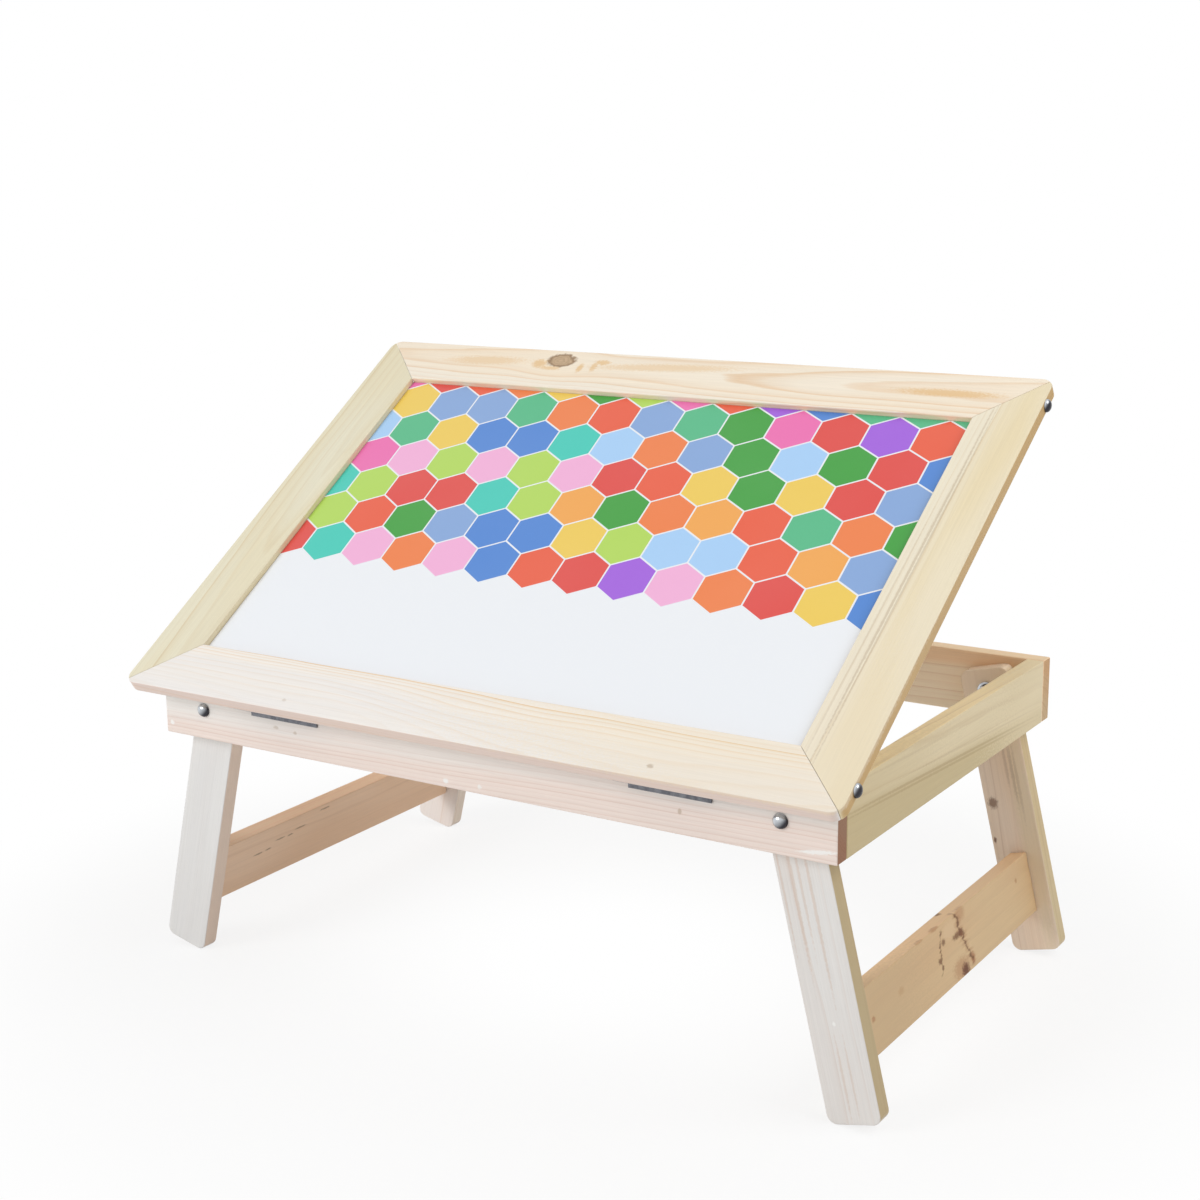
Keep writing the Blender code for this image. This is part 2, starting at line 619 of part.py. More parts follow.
# Leg pairs
half_leg = LEG_WIDTH / 2
head_level = LEG_HEAD - HEAD_RADIUS
leg_up = math.pi / 2
leg_outline = arc((half_leg - HEAD_RADIUS, head_level), HEAD_RADIUS, 0.0, leg_up, CORNER_STEPS)
leg_outline += arc((HEAD_RADIUS - half_leg, head_level), HEAD_RADIUS, leg_up, math.pi, CORNER_STEPS)
foot_level = FOOT_RADIUS - LEG_REACH
foot_down = 3 * math.pi / 2
leg_outline += arc((FOOT_RADIUS - half_leg, foot_level), FOOT_RADIUS, math.pi, foot_down, CORNER_STEPS)
leg_outline += arc((half_leg - FOOT_RADIUS, foot_level), FOOT_RADIUS, foot_down, 2 * math.pi, CORNER_STEPS)
leg_depths = {"front": (LEG_FRONT, LEG_BACK), "rear": (BASE_DEPTH - LEG_BACK, BASE_DEPTH - LEG_FRONT)}
stretcher_span = (LEG_BACK + FIT, BASE_DEPTH - LEG_BACK - FIT)
stretcher_levels = (-STRETCHER_DROP - STRETCHER_WIDTH / 2, -STRETCHER_DROP + STRETCHER_WIDTH / 2)
stretcher_faces = (-STRETCHER_THICK / 2, STRETCHER_THICK / 2)
for hand, side in (("left", -1), ("right", 1)):
    pivot = (side * PIVOT_X, 0.0, PIVOT_LEVEL)
    axis = make_empty(f"{hand}_leg_axis", pivot, (0.0, -side * LEG_SPLAY, 0.0), table)
    for end, (near, far) in leg_depths.items():
        leg = make_piece(f"{hand}_{end}_leg", ease(prism(leg_outline, near, far, "Y")), axis, pine_leg)
        hole = rod(BOLT_RADIUS + FIT, -far - RUNNING_GAP, -near + RUNNING_GAP)
        combine(leg, moved(hole, (0.0, 0.0, 0.0), TURN_TO_FRONT), "DIFFERENCE")
    stretcher = ease(block(stretcher_faces, stretcher_span, stretcher_levels))
    make_piece(f"{hand}_stretcher", stretcher, axis, pine_stretcher)
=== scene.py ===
"""Folding study table: a framed pine tray that tilts on a rail base with two folding leg pairs.

Metres, +Z up, the front of the table towards -Y, standing on its feet with the tray tilted.
"""
import json
import math

import bpy
import numpy as np
from mathutils import Matrix, Vector


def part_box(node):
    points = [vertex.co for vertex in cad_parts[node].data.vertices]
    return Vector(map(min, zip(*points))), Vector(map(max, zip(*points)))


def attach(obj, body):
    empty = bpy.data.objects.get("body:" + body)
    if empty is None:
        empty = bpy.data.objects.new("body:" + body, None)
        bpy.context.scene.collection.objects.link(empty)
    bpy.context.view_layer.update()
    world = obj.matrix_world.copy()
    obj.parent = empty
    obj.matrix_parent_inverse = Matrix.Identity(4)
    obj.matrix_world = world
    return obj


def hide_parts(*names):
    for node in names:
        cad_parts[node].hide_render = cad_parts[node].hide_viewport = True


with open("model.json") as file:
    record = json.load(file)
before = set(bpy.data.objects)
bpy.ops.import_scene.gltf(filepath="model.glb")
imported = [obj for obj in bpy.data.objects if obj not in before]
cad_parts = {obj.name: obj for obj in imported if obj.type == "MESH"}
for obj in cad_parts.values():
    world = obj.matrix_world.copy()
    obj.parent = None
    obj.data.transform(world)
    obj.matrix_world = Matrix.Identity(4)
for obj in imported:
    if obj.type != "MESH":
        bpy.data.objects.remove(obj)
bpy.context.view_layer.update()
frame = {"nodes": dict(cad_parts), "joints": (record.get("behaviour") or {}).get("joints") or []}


# Base rails: four planed pine bars of 50 by 14 mm, the front and rear ones running past the ends of the
# side ones. They are glued and nailed at the corners, the nail holes are stopped with white filler, and
# the edges are eased with sandpaper.

def seat(node, along, face):
    """Own axes of a piece, measured on its solid: X along the grain, Z out of its show face, Y across.

    The solid's points are projected on the three axes; the middle of each span gives the place, and
    half of each span the piece's half size.
    """
    mesh = frame["nodes"][node].data
    points = np.empty(3 * len(mesh.vertices))
    mesh.vertices.foreach_get("co", points)
    axes = np.array((along, np.cross(face, along), face), dtype=float)
    spans = points.reshape(-1, 3) @ axes.T
    low, high = spans.min(axis=0), spans.max(axis=0)
    place = np.eye(4)
    place[:3, :3] = axes.T
    place[:3, 3] = axes.T @ ((low + high) / 2)
    return place, (high - low) / 2


def loft(name, rings, place, material, wrap=False, crisp=40.0):
    """Closed body through a stack of like rings, an array of (ring, point, XYZ) in the piece's own axes.

    Each face joins two neighbouring points of one ring with the same two of the next. The first and
    last rings are capped, or joined to each other where the stack itself runs in a circle. Edges that
    turn by more than the crisp angle, in degrees, are shaded sharp.
    """
    rows, columns = rings.shape[:2]
    grid = np.arange(rows * columns).reshape(rows, columns)
    lower, upper = (grid, np.roll(grid, -1, axis=0)) if wrap else (grid[:-1], grid[1:])
    corners = (lower, np.roll(lower, -1, axis=1), np.roll(upper, -1, axis=1), upper)
    faces = np.stack(corners, axis=-1).reshape(-1, 4).tolist()
    if not wrap:
        faces += [grid[0, ::-1].tolist(), grid[-1].tolist()]
    world = rings.reshape(-1, 3) @ place[:3, :3].T + place[:3, 3]
    mesh = bpy.data.meshes.new(name)
    mesh.from_pydata(world.tolist(), [], faces)
    mesh.shade_smooth()
    mesh.set_sharp_from_angle(angle=math.radians(crisp))
    mesh.materials.append(material)
    piece = bpy.data.objects.new(name, mesh)
    bpy.context.collection.objects.link(piece)
    even = piece.modifiers.new("even_normals", "WEIGHTED_NORMAL")
    even.keep_sharp = True
    return piece


def settle(piece, body, slot, *nodes):
    """The piece rides on its body and stands for its solids, which are hidden. The slot is not used."""
    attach(piece, body)
    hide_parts(*nodes)


def rounded(ease, steps=4):
    """Quarter circle of an eased edge: its angles t, insets ease (1 - sin t) and depths ease (1 - cos t)."""
    turn = np.linspace(0.0, np.pi / 2, steps + 1)
    return turn, ease * (1 - np.sin(turn)), ease * (1 - np.cos(turn))


def bar_rings(half, ease, shrink=0.8):
    """Rounded rectangle carried along X and drawn in at both ends.

    The corner arcs shrink by a share of the inset.
    """
    turn, inset, depth = rounded(ease)
    station = np.concatenate((depth - half[0], half[0] - depth[::-1]))[:, None]
    inset = np.concatenate((inset, inset[::-1]))[:, None]
    radius = ease - shrink * inset
    quarter = np.repeat(np.arange(4) * np.pi / 2, len(turn))
    angle = quarter + np.tile(turn, 4)
    side_y = np.sign(np.cos(quarter + np.pi / 4))
    side_z = np.sign(np.sin(quarter + np.pi / 4))
    y = side_y * (half[1] - inset - radius) + radius * np.cos(angle)
    z = side_z * (half[2] - inset - radius) + radius * np.sin(angle)
    return np.stack((np.broadcast_to(station, y.shape), y, z), axis=-1)


def tone(code):
    """Linear colour of a six-figure sRGB code."""
    shares = np.array([int(code[start:start + 2], 16) for start in (0, 2, 4)]) / 255
    linear = np.where(shares <= 0.04045, shares / 12.92, ((shares + 0.055) / 1.055) ** 2.4)
    return (*linear.tolist(), 1.0)


def add(tree, kind, inputs=None, **settings):
    """Shader node with its settings; each input is a value, a colour's code or another node's output."""
    node = tree.nodes.new("ShaderNode" + kind)
    for name, value in settings.items():
        setattr(node, name, value)
    for key, value in (inputs or {}).items():
        if isinstance(value, bpy.types.NodeSocket):
            tree.links.new(value, node.inputs[key])
        else:
            node.inputs[key].default_value = tone(value) if isinstance(value, str) else value
    return node


def calc(tree, operation, *values, clamp=False):
    """Output of a Math node."""
    return add(tree, "Math", dict(enumerate(values)), operation=operation, use_clamp=clamp).outputs[0]


def vec(tree, operation, *values):
    """Output of a Vector Math node: a number for a length or a dot product, and else a vector."""
    output = "Value" if operation in ("LENGTH", "DOT_PRODUCT") else "Vector"
    return add(tree, "VectorMath", dict(enumerate(values)), operation=operation).outputs[output]


def scaled(tree, vector, amount):
    """Vector times a number."""
    return add(tree, "VectorMath", {0: vector, "Scale": amount}, operation="SCALE").outputs[0]


def noise(tree, vector, detail=2.0, roughness=0.5, output=0):
    """Output of a noise texture at scale 1, so that the vector alone sets its size."""
    inputs = {"Vector": vector, "Scale": 1.0, "Detail": detail, "Roughness": roughness}
    return add(tree, "TexNoise", inputs).outputs[output]


def grained(tree, place, waves, detail=2.0):
    """Noise over a place in metres, with so many waves per metre along each axis."""
    return noise(tree, vec(tree, "MULTIPLY", place, waves), detail)


def centred(tree, value):
    """Noise moved so that it swings about 0."""
    return calc(tree, "SUBTRACT", value, 0.5)


def smooth(tree, value, start, end):
    """Smooth step from 0 at start to 1 at end."""
    inputs = {"Value": value, "From Min": start, "From Max": end}
    return add(tree, "MapRange", inputs, interpolation_type="SMOOTHSTEP").outputs[0]


def tint(tree, amount, first, second, way="MIX"):
    """Colour between two colours by an amount."""
    inputs = {0: amount, 6: first, 7: second}
    return add(tree, "Mix", inputs, data_type="RGBA", blend_type=way).outputs[2]


def ramp(tree, value, stops, way="LINEAR"):
    """Colour ramp through (position, colour) stops."""
    node = add(tree, "ValToRGB", {0: value})
    node.color_ramp.interpolation = way
    while len(node.color_ramp.elements) < len(stops):
        node.color_ramp.elements.new(1.0)
    for element, (position, colour) in zip(node.color_ramp.elements, stops):
        element.position = position
        element.color = colour
    return node.outputs[0]


def grey(level):
    """Grey ramp colour."""
    return (level, level, level, 1.0)


def group(name, inputs, outputs):
    """Empty node group with its named sockets; gives the tree, its inputs and its end node."""
    tree = bpy.data.node_groups.new(name, "ShaderNodeTree")
    for side, sockets in (("INPUT", inputs), ("OUTPUT", outputs)):
        for label, kind in sockets.items():
            tree.interface.new_socket(label, in_out=side, socket_type="NodeSocket" + kind)
    start = tree.nodes.new("NodeGroupInput")
    end = tree.nodes.new("NodeGroupOutput")
    return tree, start.outputs, end.inputs


def use(tree, shared, inputs):
    """Outputs of a node group placed in a tree."""
    return add(tree, "Group", inputs, node_tree=shared).outputs


def pine_timber():
    """Group: sawn pine. Growth rings are cylinders round the tree's heart, which lies beside the piece.

    Ring number = (distance from the heart + wander + taper along the grain) / ring width + an uneven
    shift. Inside a ring the wood darkens slowly to late wood and then stops short, and each ring has
    its own strength. Past the sapwood's distance the ground turns to its blush, and short of it the
    rings are quieter. Fibres, flecks and blotches lie along the grain.
    """
    inputs = {"Place": "Vector", "Seed": "Float", "Heart": "Vector", "Ring Width": "Float",
              "Wander": "Float", "Taper": "Float", "Sapwood": "Float", "Quiet": "Float",
              "Early": "Color", "Late": "Color", "Blush": "Color", "Figure": "Float",
              "End": "Float", "End Tone": "Color", "Edge": "Float", "Edge Tone": "Color"}
    outputs = {"Color": "Color", "Roughness": "Float", "Height": "Float"}
    tree, get, put = group("pine_timber", inputs, outputs)
    shift = scaled(tree, (131.0, 57.0, 89.0), get["Seed"])
    millimetres = vec(tree, "MULTIPLY", get["Place"], (1000.0, 1000.0, 1000.0))

    def streaks(along, across, detail, roughness=0.5, output=0):
        """Noise drawn out along the grain, with so many waves per millimetre along and across it."""
        place = vec(tree, "MULTIPLY_ADD", millimetres, (along, across, across), shift)
        return noise(tree, place, detail, roughness, output)

    drift = vec(tree, "SUBTRACT", streaks(0.0035, 0.014, 1.5, output=1), (0.5, 0.5, 0.5))
    bent = vec(tree, "ADD", millimetres, scaled(tree, drift, get["Wander"]))
    from_heart = vec(tree, "MULTIPLY", vec(tree, "SUBTRACT", bent, get["Heart"]), (0.0, 1.0, 1.0))
    reach = vec(tree, "LENGTH", from_heart)
    along = add(tree, "SeparateXYZ", {0: millimetres}).outputs[0]
    reach = calc(tree, "MULTIPLY_ADD", along, get["Taper"], reach)
    ripple = centred(tree, streaks(0.012, 0.16, 2.0))
    row = add(tree, "CombineXYZ", {0: calc(tree, "MULTIPLY", reach, 0.06), 1: get["Seed"]}).outputs[0]
    uneven = centred(tree, noise(tree, row, 1.0))
    count = calc(tree, "DIVIDE", reach, get["Ring Width"])
    count = calc(tree, "MULTIPLY_ADD", uneven, 3.0, calc(tree, "MULTIPLY_ADD", ripple, 0.4, count))
    within = calc(tree, "FRACT", count)
    number = calc(tree, "ADD", calc(tree, "FLOOR", count), get["Seed"])
    own = add(tree, "TexWhiteNoise", {"W": number}, noise_dimensions="1D").outputs[0]
    stops = ((0.0, grey(0.0)), (0.35, grey(0.05)), (0.7, grey(0.34)), (0.88, grey(1.0)),
             (0.95, grey(0.7)), (1.0, grey(0.0)))
    strength = calc(tree, "MULTIPLY_ADD", calc(tree, "POWER", own, 2.4), 0.86, 0.14)
    late = calc(tree, "MULTIPLY", ramp(tree, within, stops), strength)
    fibre = streaks(0.014, 1.1, 3.0, 0.6)
    fine = streaks(0.05, 4.2, 1.0)
    fleck = smooth(tree, streaks(0.07, 2.4, 0.0), 0.70, 0.80)
    blotch = smooth(tree, streaks(0.005, 0.026, 1.0), 0.34, 0.68)
    past = smooth(tree, calc(tree, "SUBTRACT", reach, get["Sapwood"]), -5.0, 5.0)
    turned = calc(tree, "MAXIMUM", past, calc(tree, "MULTIPLY", blotch, 0.6))
    ground = tint(tree, turned, get["Early"], get["Blush"])
    loud = calc(tree, "MAXIMUM", past, get["Quiet"])
    figure = calc(tree, "MULTIPLY", calc(tree, "MULTIPLY", late, get["Figure"]), loud, clamp=True)
    colour = tint(tree, figure, ground, get["Late"])
    streak = calc(tree, "MULTIPLY_ADD", centred(tree, fibre), 0.17, 1.0)
    streak = calc(tree, "MULTIPLY_ADD", centred(tree, fine), 0.06, streak)
    streak = calc(tree, "MULTIPLY_ADD", fleck, -0.05, streak)
    pores = centred(tree, streaks(1.1, 1.1, 2.0))
    crossed = calc(tree, "MULTIPLY", get["End"], calc(tree, "MULTIPLY", pores, 0.5))
    colour = tint(tree, 1.0, colour, calc(tree, "ADD", streak, crossed), "MULTIPLY")
    colour = tint(tree, get["End"], colour, get["End Tone"], "MULTIPLY")
    colour = tint(tree, get["Edge"], colour, get["Edge Tone"], "MULTIPLY")
    sheen = calc(tree, "MULTIPLY_ADD", fibre, 0.16, 0.46)
    sheen = calc(tree, "MULTIPLY_ADD", late, -0.07, sheen)
    sheen = calc(tree, "MULTIPLY_ADD", get["End"], 0.15, sheen)
    height = calc(tree, "MULTIPLY_ADD", late, 0.35, calc(tree, "MULTIPLY", fibre, 0.55))
    height = calc(tree, "MULTIPLY_ADD", fine, 0.25, height)
    tree.links.new(colour, put["Color"])
    tree.links.new(sheen, put["Roughness"])
    tree.links.new(height, put["Height"])
    return tree


def pine_knot():
    """Group: a knot on the show face. Inside an oval a branch's own rings run dark to a bark edge.

    Round it the grain's place is drawn towards the knot's axis by exp(-(0.45 oval distance) squared).
    """
    inputs = {"Place": "Vector", "Centre": "Vector", "Half Size": "Vector"}
    outputs = {"Place": "Vector", "Mask": "Float", "Shade": "Float"}
    tree, get, put = group("pine_knot", inputs, outputs)
    offset = vec(tree, "SUBTRACT", get["Place"], get["Centre"])
    oval = vec(tree, "MULTIPLY", vec(tree, "DIVIDE", offset, get["Half Size"]), (1.0, 1.0, 0.0))
    rough = grained(tree, get["Place"], (260.0, 260.0, 40.0))
    distance = vec(tree, "LENGTH", oval)
    edge = calc(tree, "MULTIPLY_ADD", centred(tree, rough), 0.55, distance)
    reach = calc(tree, "MULTIPLY", distance, 0.45)
    fall = calc(tree, "EXPONENT", calc(tree, "MULTIPLY", calc(tree, "MULTIPLY", reach, reach), -1.0))
    push = scaled(tree, vec(tree, "MULTIPLY", offset, (0.0, -0.85, 0.0)), fall)
    rings = calc(tree, "FRACT", calc(tree, "MULTIPLY", edge, 3.4))
    rim = smooth(tree, edge, 0.55, 0.98)
    tree.links.new(vec(tree, "ADD", get["Place"], push), put["Place"])
    tree.links.new(smooth(tree, edge, 1.15, 0.85), put["Mask"])
    tree.links.new(calc(tree, "MULTIPLY_ADD", rim, 0.55, calc(tree, "MULTIPLY", rings, 0.35)), put["Shade"])
    return tree


def oval_mark():
    """Group: an oval mark with a frayed edge, such as filler, a pin knot or a resin line.

    Its long axis leans: the offset across the grain loses lean times the offset along it.
    """
    inputs = {"Place": "Vector", "Centre": "Vector", "Half Size": "Vector", "Lean": "Float"}
    tree, get, put = group("oval_mark", inputs, {"Mask": "Float"})
    offset = vec(tree, "SUBTRACT", get["Place"], get["Centre"])
    drop = calc(tree, "MULTIPLY", add(tree, "SeparateXYZ", {0: offset}).outputs[0], get["Lean"])
    offset = vec(tree, "SUBTRACT", offset, add(tree, "CombineXYZ", {1: drop}).outputs[0])
    distance = vec(tree, "LENGTH", vec(tree, "DIVIDE", offset, get["Half Size"]))
    frayed = grained(tree, get["Place"], (420.0, 700.0, 420.0))
    edge = calc(tree, "MULTIPLY_ADD", centred(tree, frayed), 1.1, distance)
    tree.links.new(smooth(tree, edge, 1.25, 0.45), put["Mask"])
    return tree


timber, knot_of, mark_of = pine_timber(), pine_knot(), oval_mark()


def blank(name):
    """New material, its node tree and its shader."""
    material = bpy.data.materials.new(name)
    material.use_nodes = True
    tree = material.node_tree
    return material, tree, tree.nodes["Principled BSDF"]


def own_axes(tree, place):
    """Object coordinates in a piece's own axes, and the surface's normal."""
    source = add(tree, "TexCoord")
    turn = Matrix(place[:3, :3].tolist()).to_euler()
    inputs = {"Vector": source.outputs["Object"], "Location": place[:3, 3].tolist(), "Rotation": turn}
    return add(tree, "Mapping", inputs, vector_type="TEXTURE").outputs[0], source.outputs["Normal"]


def dress(tree, shader, colour, roughness, height, strength, distance):
    """Join a colour, a roughness and a bump's height to a shader; strength and distance are the bump's."""
    bump = add(tree, "Bump", {"Height": height, "Strength": strength, "Distance": distance})
    for name, socket in (("Base Color", colour), ("Roughness", roughness), ("Normal", bump.outputs[0])):
        tree.links.new(socket, shader.inputs[name])


def metres(lengths):
    """Lengths in millimetres as metres."""
    return [length / 1000 for length in lengths]


def marked(colour, level, depth, *rows):
    """Marks of one colour at one level and of one depth.

    A row is (x, y, half length, half width, strength, lean if any).
    """
    return [((x, y, level), (length, width, depth), colour, *rest) for x, y, length, width, *rest in rows]


def pine(name, place, seed, heart, ring_width, early, late, blush, figure=0.6, wander=9.0, taper=0.012,
         sapwood=1000.0, quiet=1.0, knots=(), marks=(), end_tone="CDB9A6", edge_tone="F6F0E6"):
    """Pine finish laid in a piece's own axes, with its lengths in millimetres.

    Knots are (centre, half size, heart colour, rim colour) and marks (centre, half size, colour,
    strength, lean if any). The end tone shades the cut ends, and the edge tone the narrow sides; on some
    pieces the edge tone and some large marks carry painted light and painted shade.
    """
    material, tree, shader = blank(name)
    own, normal = own_axes(tree, place)

    def facing(axis, start, end):
        """Smooth step of how straight the surface looks along one of the own axes, either way."""
        turned = vec(tree, "DOT_PRODUCT", normal, place[:3, axis].tolist())
        return smooth(tree, calc(tree, "ABSOLUTE", turned), start, end)

    grain, found = own, []
    for centre, half_size, inner, rim in knots:
        inputs = {"Place": grain, "Centre": metres(centre), "Half Size": metres(half_size)}
        knot = use(tree, knot_of, inputs)
        found.append((knot["Mask"], tint(tree, knot["Shade"], inner, rim)))
        grain = knot["Place"]
    inputs = {"Place": grain, "Seed": seed, "Heart": heart, "Ring Width": ring_width, "Wander": wander,
              "Taper": taper, "Sapwood": sapwood, "Quiet": quiet, "Early": early, "Late": late,
              "Blush": blush, "Figure": figure, "End": facing(0, 0.75, 0.98), "End Tone": end_tone,
              "Edge": facing(1, 0.6, 0.98), "Edge Tone": edge_tone}
    wood = use(tree, timber, inputs)
    colour = wood["Color"]
    for mask, knot_tone in found:
        colour = tint(tree, mask, colour, knot_tone)
    for centre, half_size, mark_tone, strength, *lean in marks:
        inputs = {"Place": own, "Centre": metres(centre), "Half Size": metres(half_size),
                  "Lean": lean[0] if lean else 0.0}
        mask = use(tree, mark_of, inputs)["Mask"]
        colour = tint(tree, calc(tree, "MULTIPLY", mask, strength), colour, mark_tone)
    dress(tree, shader, colour, wood["Roughness"], wood["Height"], strength=0.3, distance=0.0004)
    shader.inputs["Specular IOR Level"].default_value = 0.35
    return material


LEFT, RIGHT = np.array((-1.0, 0.0, 0.0)), np.array((1.0, 0.0, 0.0))
FRONT, BACK = np.array((0.0, -1.0, 0.0)), np.array((0.0, 1.0, 0.0))
UP = np.array((0.0, 0.0, 1.0))
EDGE_EASE = 0.0011


def wooden(node, along, face, body, slot, finish, shape=bar_rings, wrap=False):
    """Pine piece, a bar unless given another shape, that stands for a node; gives its place and material."""
    place, half = seat(node, along, face)
    material = pine("pine_" + node, place, **finish)
    settle(loft("pine_" + node, shape(half, EDGE_EASE), place, material, wrap), body, slot, node)
    return place, material


FILLER, SPECK, LATE_LINE = "F6F5F2", "A98F70", "8C6836"
RAIL_PAINTED_LIGHT, RAIL_PAINTED_SHADE = "EFDFBC", "C4B188"
SIDE_TONES = dict(early="DDCCA9", late="B08F5C", blush="D2BF94")
rails = {
    "front_rail": (RIGHT, FRONT, dict(
        seed=3.0, heart=(0.0, 34.0, -46.0), ring_width=2.4, early="EDE9E4", late="C4977F",
        blush="EEDFD6", figure=0.8, sapwood=66.0, quiet=0.5, end_tone="A07C64",
        marks=(
            *marked(SPECK, 7.0, 2.0, (-176.7, -4.6, 2.6, 1.6, 0.35), (-158.1, -6.0, 1.8, 1.6, 0.4),
                    (174.5, -8.6, 1.8, 2.4, 0.5)),
            *marked(FILLER, 7.0, 2.0, (-284.0, -16.6, 2.4, 2.0, 0.9), (-18.1, -20.0, 2.4, 2.2, 0.9),
                    (11.3, -19.5, 2.0, 1.8, 0.7), (276.4, -18.0, 15.0, 1.6, 0.9, 0.13)),
        ))),
    "rear_rail": (LEFT, BACK, dict(
        seed=8.0, heart=(0.0, -40.0, -30.0), ring_width=4.6, early="FFEDD0", late="CE9C6C",
        blush="FFDAB2", figure=0.45, sapwood=54.0, end_tone="CABDAB",
        edge_tone=(0.98, 1.05, 1.05, 1.0))),
    "left_rail": (FRONT, LEFT, dict(
        seed=5.0, heart=(0.0, 18.0, -60.0), ring_width=4.6, figure=0.45, **SIDE_TONES)),
    "right_rail": (BACK, RIGHT, dict(
        seed=11.0, heart=(0.0, 44.0, -24.0), ring_width=6.0, wander=7.0, taper=-0.05, early="E2D2AF",
        late="B08F5C", blush="C8B68C", figure=0.4, sapwood=56.0,
        # Edge tone above 1: painted light on the narrow faces, the top one lying in the tray's shade.
        edge_tone=(1.25, 1.18, 1.02, 1.0),
        marks=(
            # Painted light over the right rail's rear end and painted shade over its front end.
            ((210.0, 0.0, 7.0), (150.0, 70.0, 20.0), RAIL_PAINTED_LIGHT, 0.5),
            ((-150.0, 0.0, 7.0), (150.0, 70.0, 20.0), RAIL_PAINTED_SHADE, 0.3),
            *marked(LATE_LINE, 7.0, 2.0, (-30.0, -4.0, 190.0, 1.2, 0.3, -0.063),
                    (-30.0, -6.8, 190.0, 1.1, 0.26, -0.063), (30.0, -1.5, 150.0, 0.9, 0.14, -0.063),
                    (-60.0, 18.0, 130.0, 1.2, 0.12, -0.05)),
        ))),
}
for node, (along, face, finish) in rails.items():
    wooden(node, along, face, "base", "pine_rail", finish)


# Rest bar: a pine bar from the front rail to the rear one, glued and nailed between them, for the tray's
# prop to stand on.
bar_finish = dict(seed=14.0, heart=(0.0, 6.0, -52.0), ring_width=3.8, **SIDE_TONES)
wooden("prop_rest_bar", BACK, UP, "base", "pine_rail", bar_finish)


# Leg pivots: zinc-plated steel bolts with low domed heads outside, through rail and leg, held by a washer
# and a hexagon nut on the leg's inner face.

def zinc_skin():
    """Group: plated steel. Cloudy patches and fine rolling marks vary its colour, gloss and height."""
    inputs = {"Place": "Vector", "Bright": "Color", "Dull": "Color", "Polish": "Float"}
    outputs = {"Color": "Color", "Roughness": "Float", "Height": "Float"}
    tree, get, put = group("zinc_skin", inputs, outputs)
    cloud = grained(tree, get["Place"], (260.0, 260.0, 260.0))
    marks = grained(tree, get["Place"], (900.0, 5200.0, 5200.0))
    mottle = calc(tree, "MULTIPLY_ADD", marks, 0.3, calc(tree, "MULTIPLY", cloud, 0.7))
    mottle = smooth(tree, mottle, 0.3, 0.7)
    tree.links.new(tint(tree, mottle, get["Bright"], get["Dull"]), put["Color"])
    tree.links.new(calc(tree, "MULTIPLY_ADD", mottle, 0.08, get["Polish"]), put["Roughness"])
    tree.links.new(calc(tree, "MULTIPLY_ADD", cloud, 0.5, marks), put["Height"])
    return tree


zinc_of = zinc_skin()
# Way that faces turn to take the heads' painted shade, a painted dark reflection.
PAINTED_SHADE_WAY = (0.62, 0.35, -0.70)


def plated(name, bright, dull, polish, painted_shade=None):
    """Zinc finish between a bright and a dull tone; polish is its least roughness.

    Painted shade, where given, is the tone that the faces turned down and to the right darken to:
    a painted reflection of a dark surround on that side.
    """
    material, tree, shader = blank(name)
    source = add(tree, "TexCoord")
    inputs = {"Place": source.outputs["Object"], "Bright": bright, "Dull": dull, "Polish": polish}
    zinc = use(tree, zinc_of, inputs)
    colour = zinc["Color"]
    if painted_shade is not None:
        turned = vec(tree, "DOT_PRODUCT", source.outputs["Normal"], PAINTED_SHADE_WAY)
        colour = tint(tree, smooth(tree, turned, -0.62, 0.30), colour, painted_shade)
    dress(tree, shader, colour, zinc["Roughness"], zinc["Height"], strength=0.06, distance=0.00005)
    shader.inputs["Metallic"].default_value = 1.0
    return material


def round_rings(station, radius, sides=40):
    """Circles carried along X: at each station the point at angle a is (x, r cos a, r sin a)."""
    angle = np.arange(sides) * 2 * np.pi / sides
    station, radius = np.asarray(station)[:, None], np.asarray(radius)
    radius = radius[:, None] if radius.ndim == 1 else radius
    y = radius * np.cos(angle)
    return np.stack((np.broadcast_to(station, y.shape), y, radius * np.sin(angle)), axis=-1)


def metal(node, along, face, body, finish, shape, wrap=False):
    """Plated piece of a shape that stands for a node."""
    place, half = seat(node, along, face)
    settle(loft("zinc_" + node, shape(half), place, finish, wrap), body, "zinc", node)


def domed_rings(half, height, shank, taper, tip, steps=12, start=0.06):
    """Low dome and a shank turned round X: the dome's radius is head sin t, its depth height (1 - cos t).

    The dome starts a little off its crown, and the shank ends in a taper to its tip.
    """
    turn = np.linspace(start, np.pi / 2, steps)
    x = (height * (1 - np.cos(turn)) - half[0], (height - half[0], half[0] - taper, half[0]))
    r = (half[1] * np.sin(turn), (shank, shank, tip))
    return round_rings(np.concatenate(x), np.concatenate(r))


BOLT_SHANK, BOLT_HEAD_HEIGHT, BOLT_CHAMFER, BOLT_CLEARANCE = 0.003, 0.004, 0.0006, 0.0003
WASHER_CHAMFER, WASHER_SIDES = 0.00025, 40
NUT_CHAMFER, NUT_SIDES, NUT_CONE = 0.0008, 48, 1.02


def drilled_rings(half_length, chamfer, rim, outer):
    """Ring on X round the bolt's bore; rim and outer are the radii by angle of its faces and its wall."""
    x = (-half_length, chamfer - half_length, half_length - chamfer, half_length, half_length, -half_length)
    bore = np.full(len(outer), BOLT_SHANK + BOLT_CLEARANCE)
    return round_rings(x, np.stack((rim, outer, outer, rim, bore, bore)), len(outer))


def bolt_rings(half):
    """Pivot bolt with a chamfered end."""
    return domed_rings(half, BOLT_HEAD_HEIGHT, BOLT_SHANK, BOLT_CHAMFER, BOLT_SHANK - BOLT_CHAMFER)


def washer_rings(half):
    """Washer with chamfered rims."""
    wall = np.full(WASHER_SIDES, half[1])
    return drilled_rings(half[0], WASHER_CHAMFER, wall - WASHER_CHAMFER, wall)


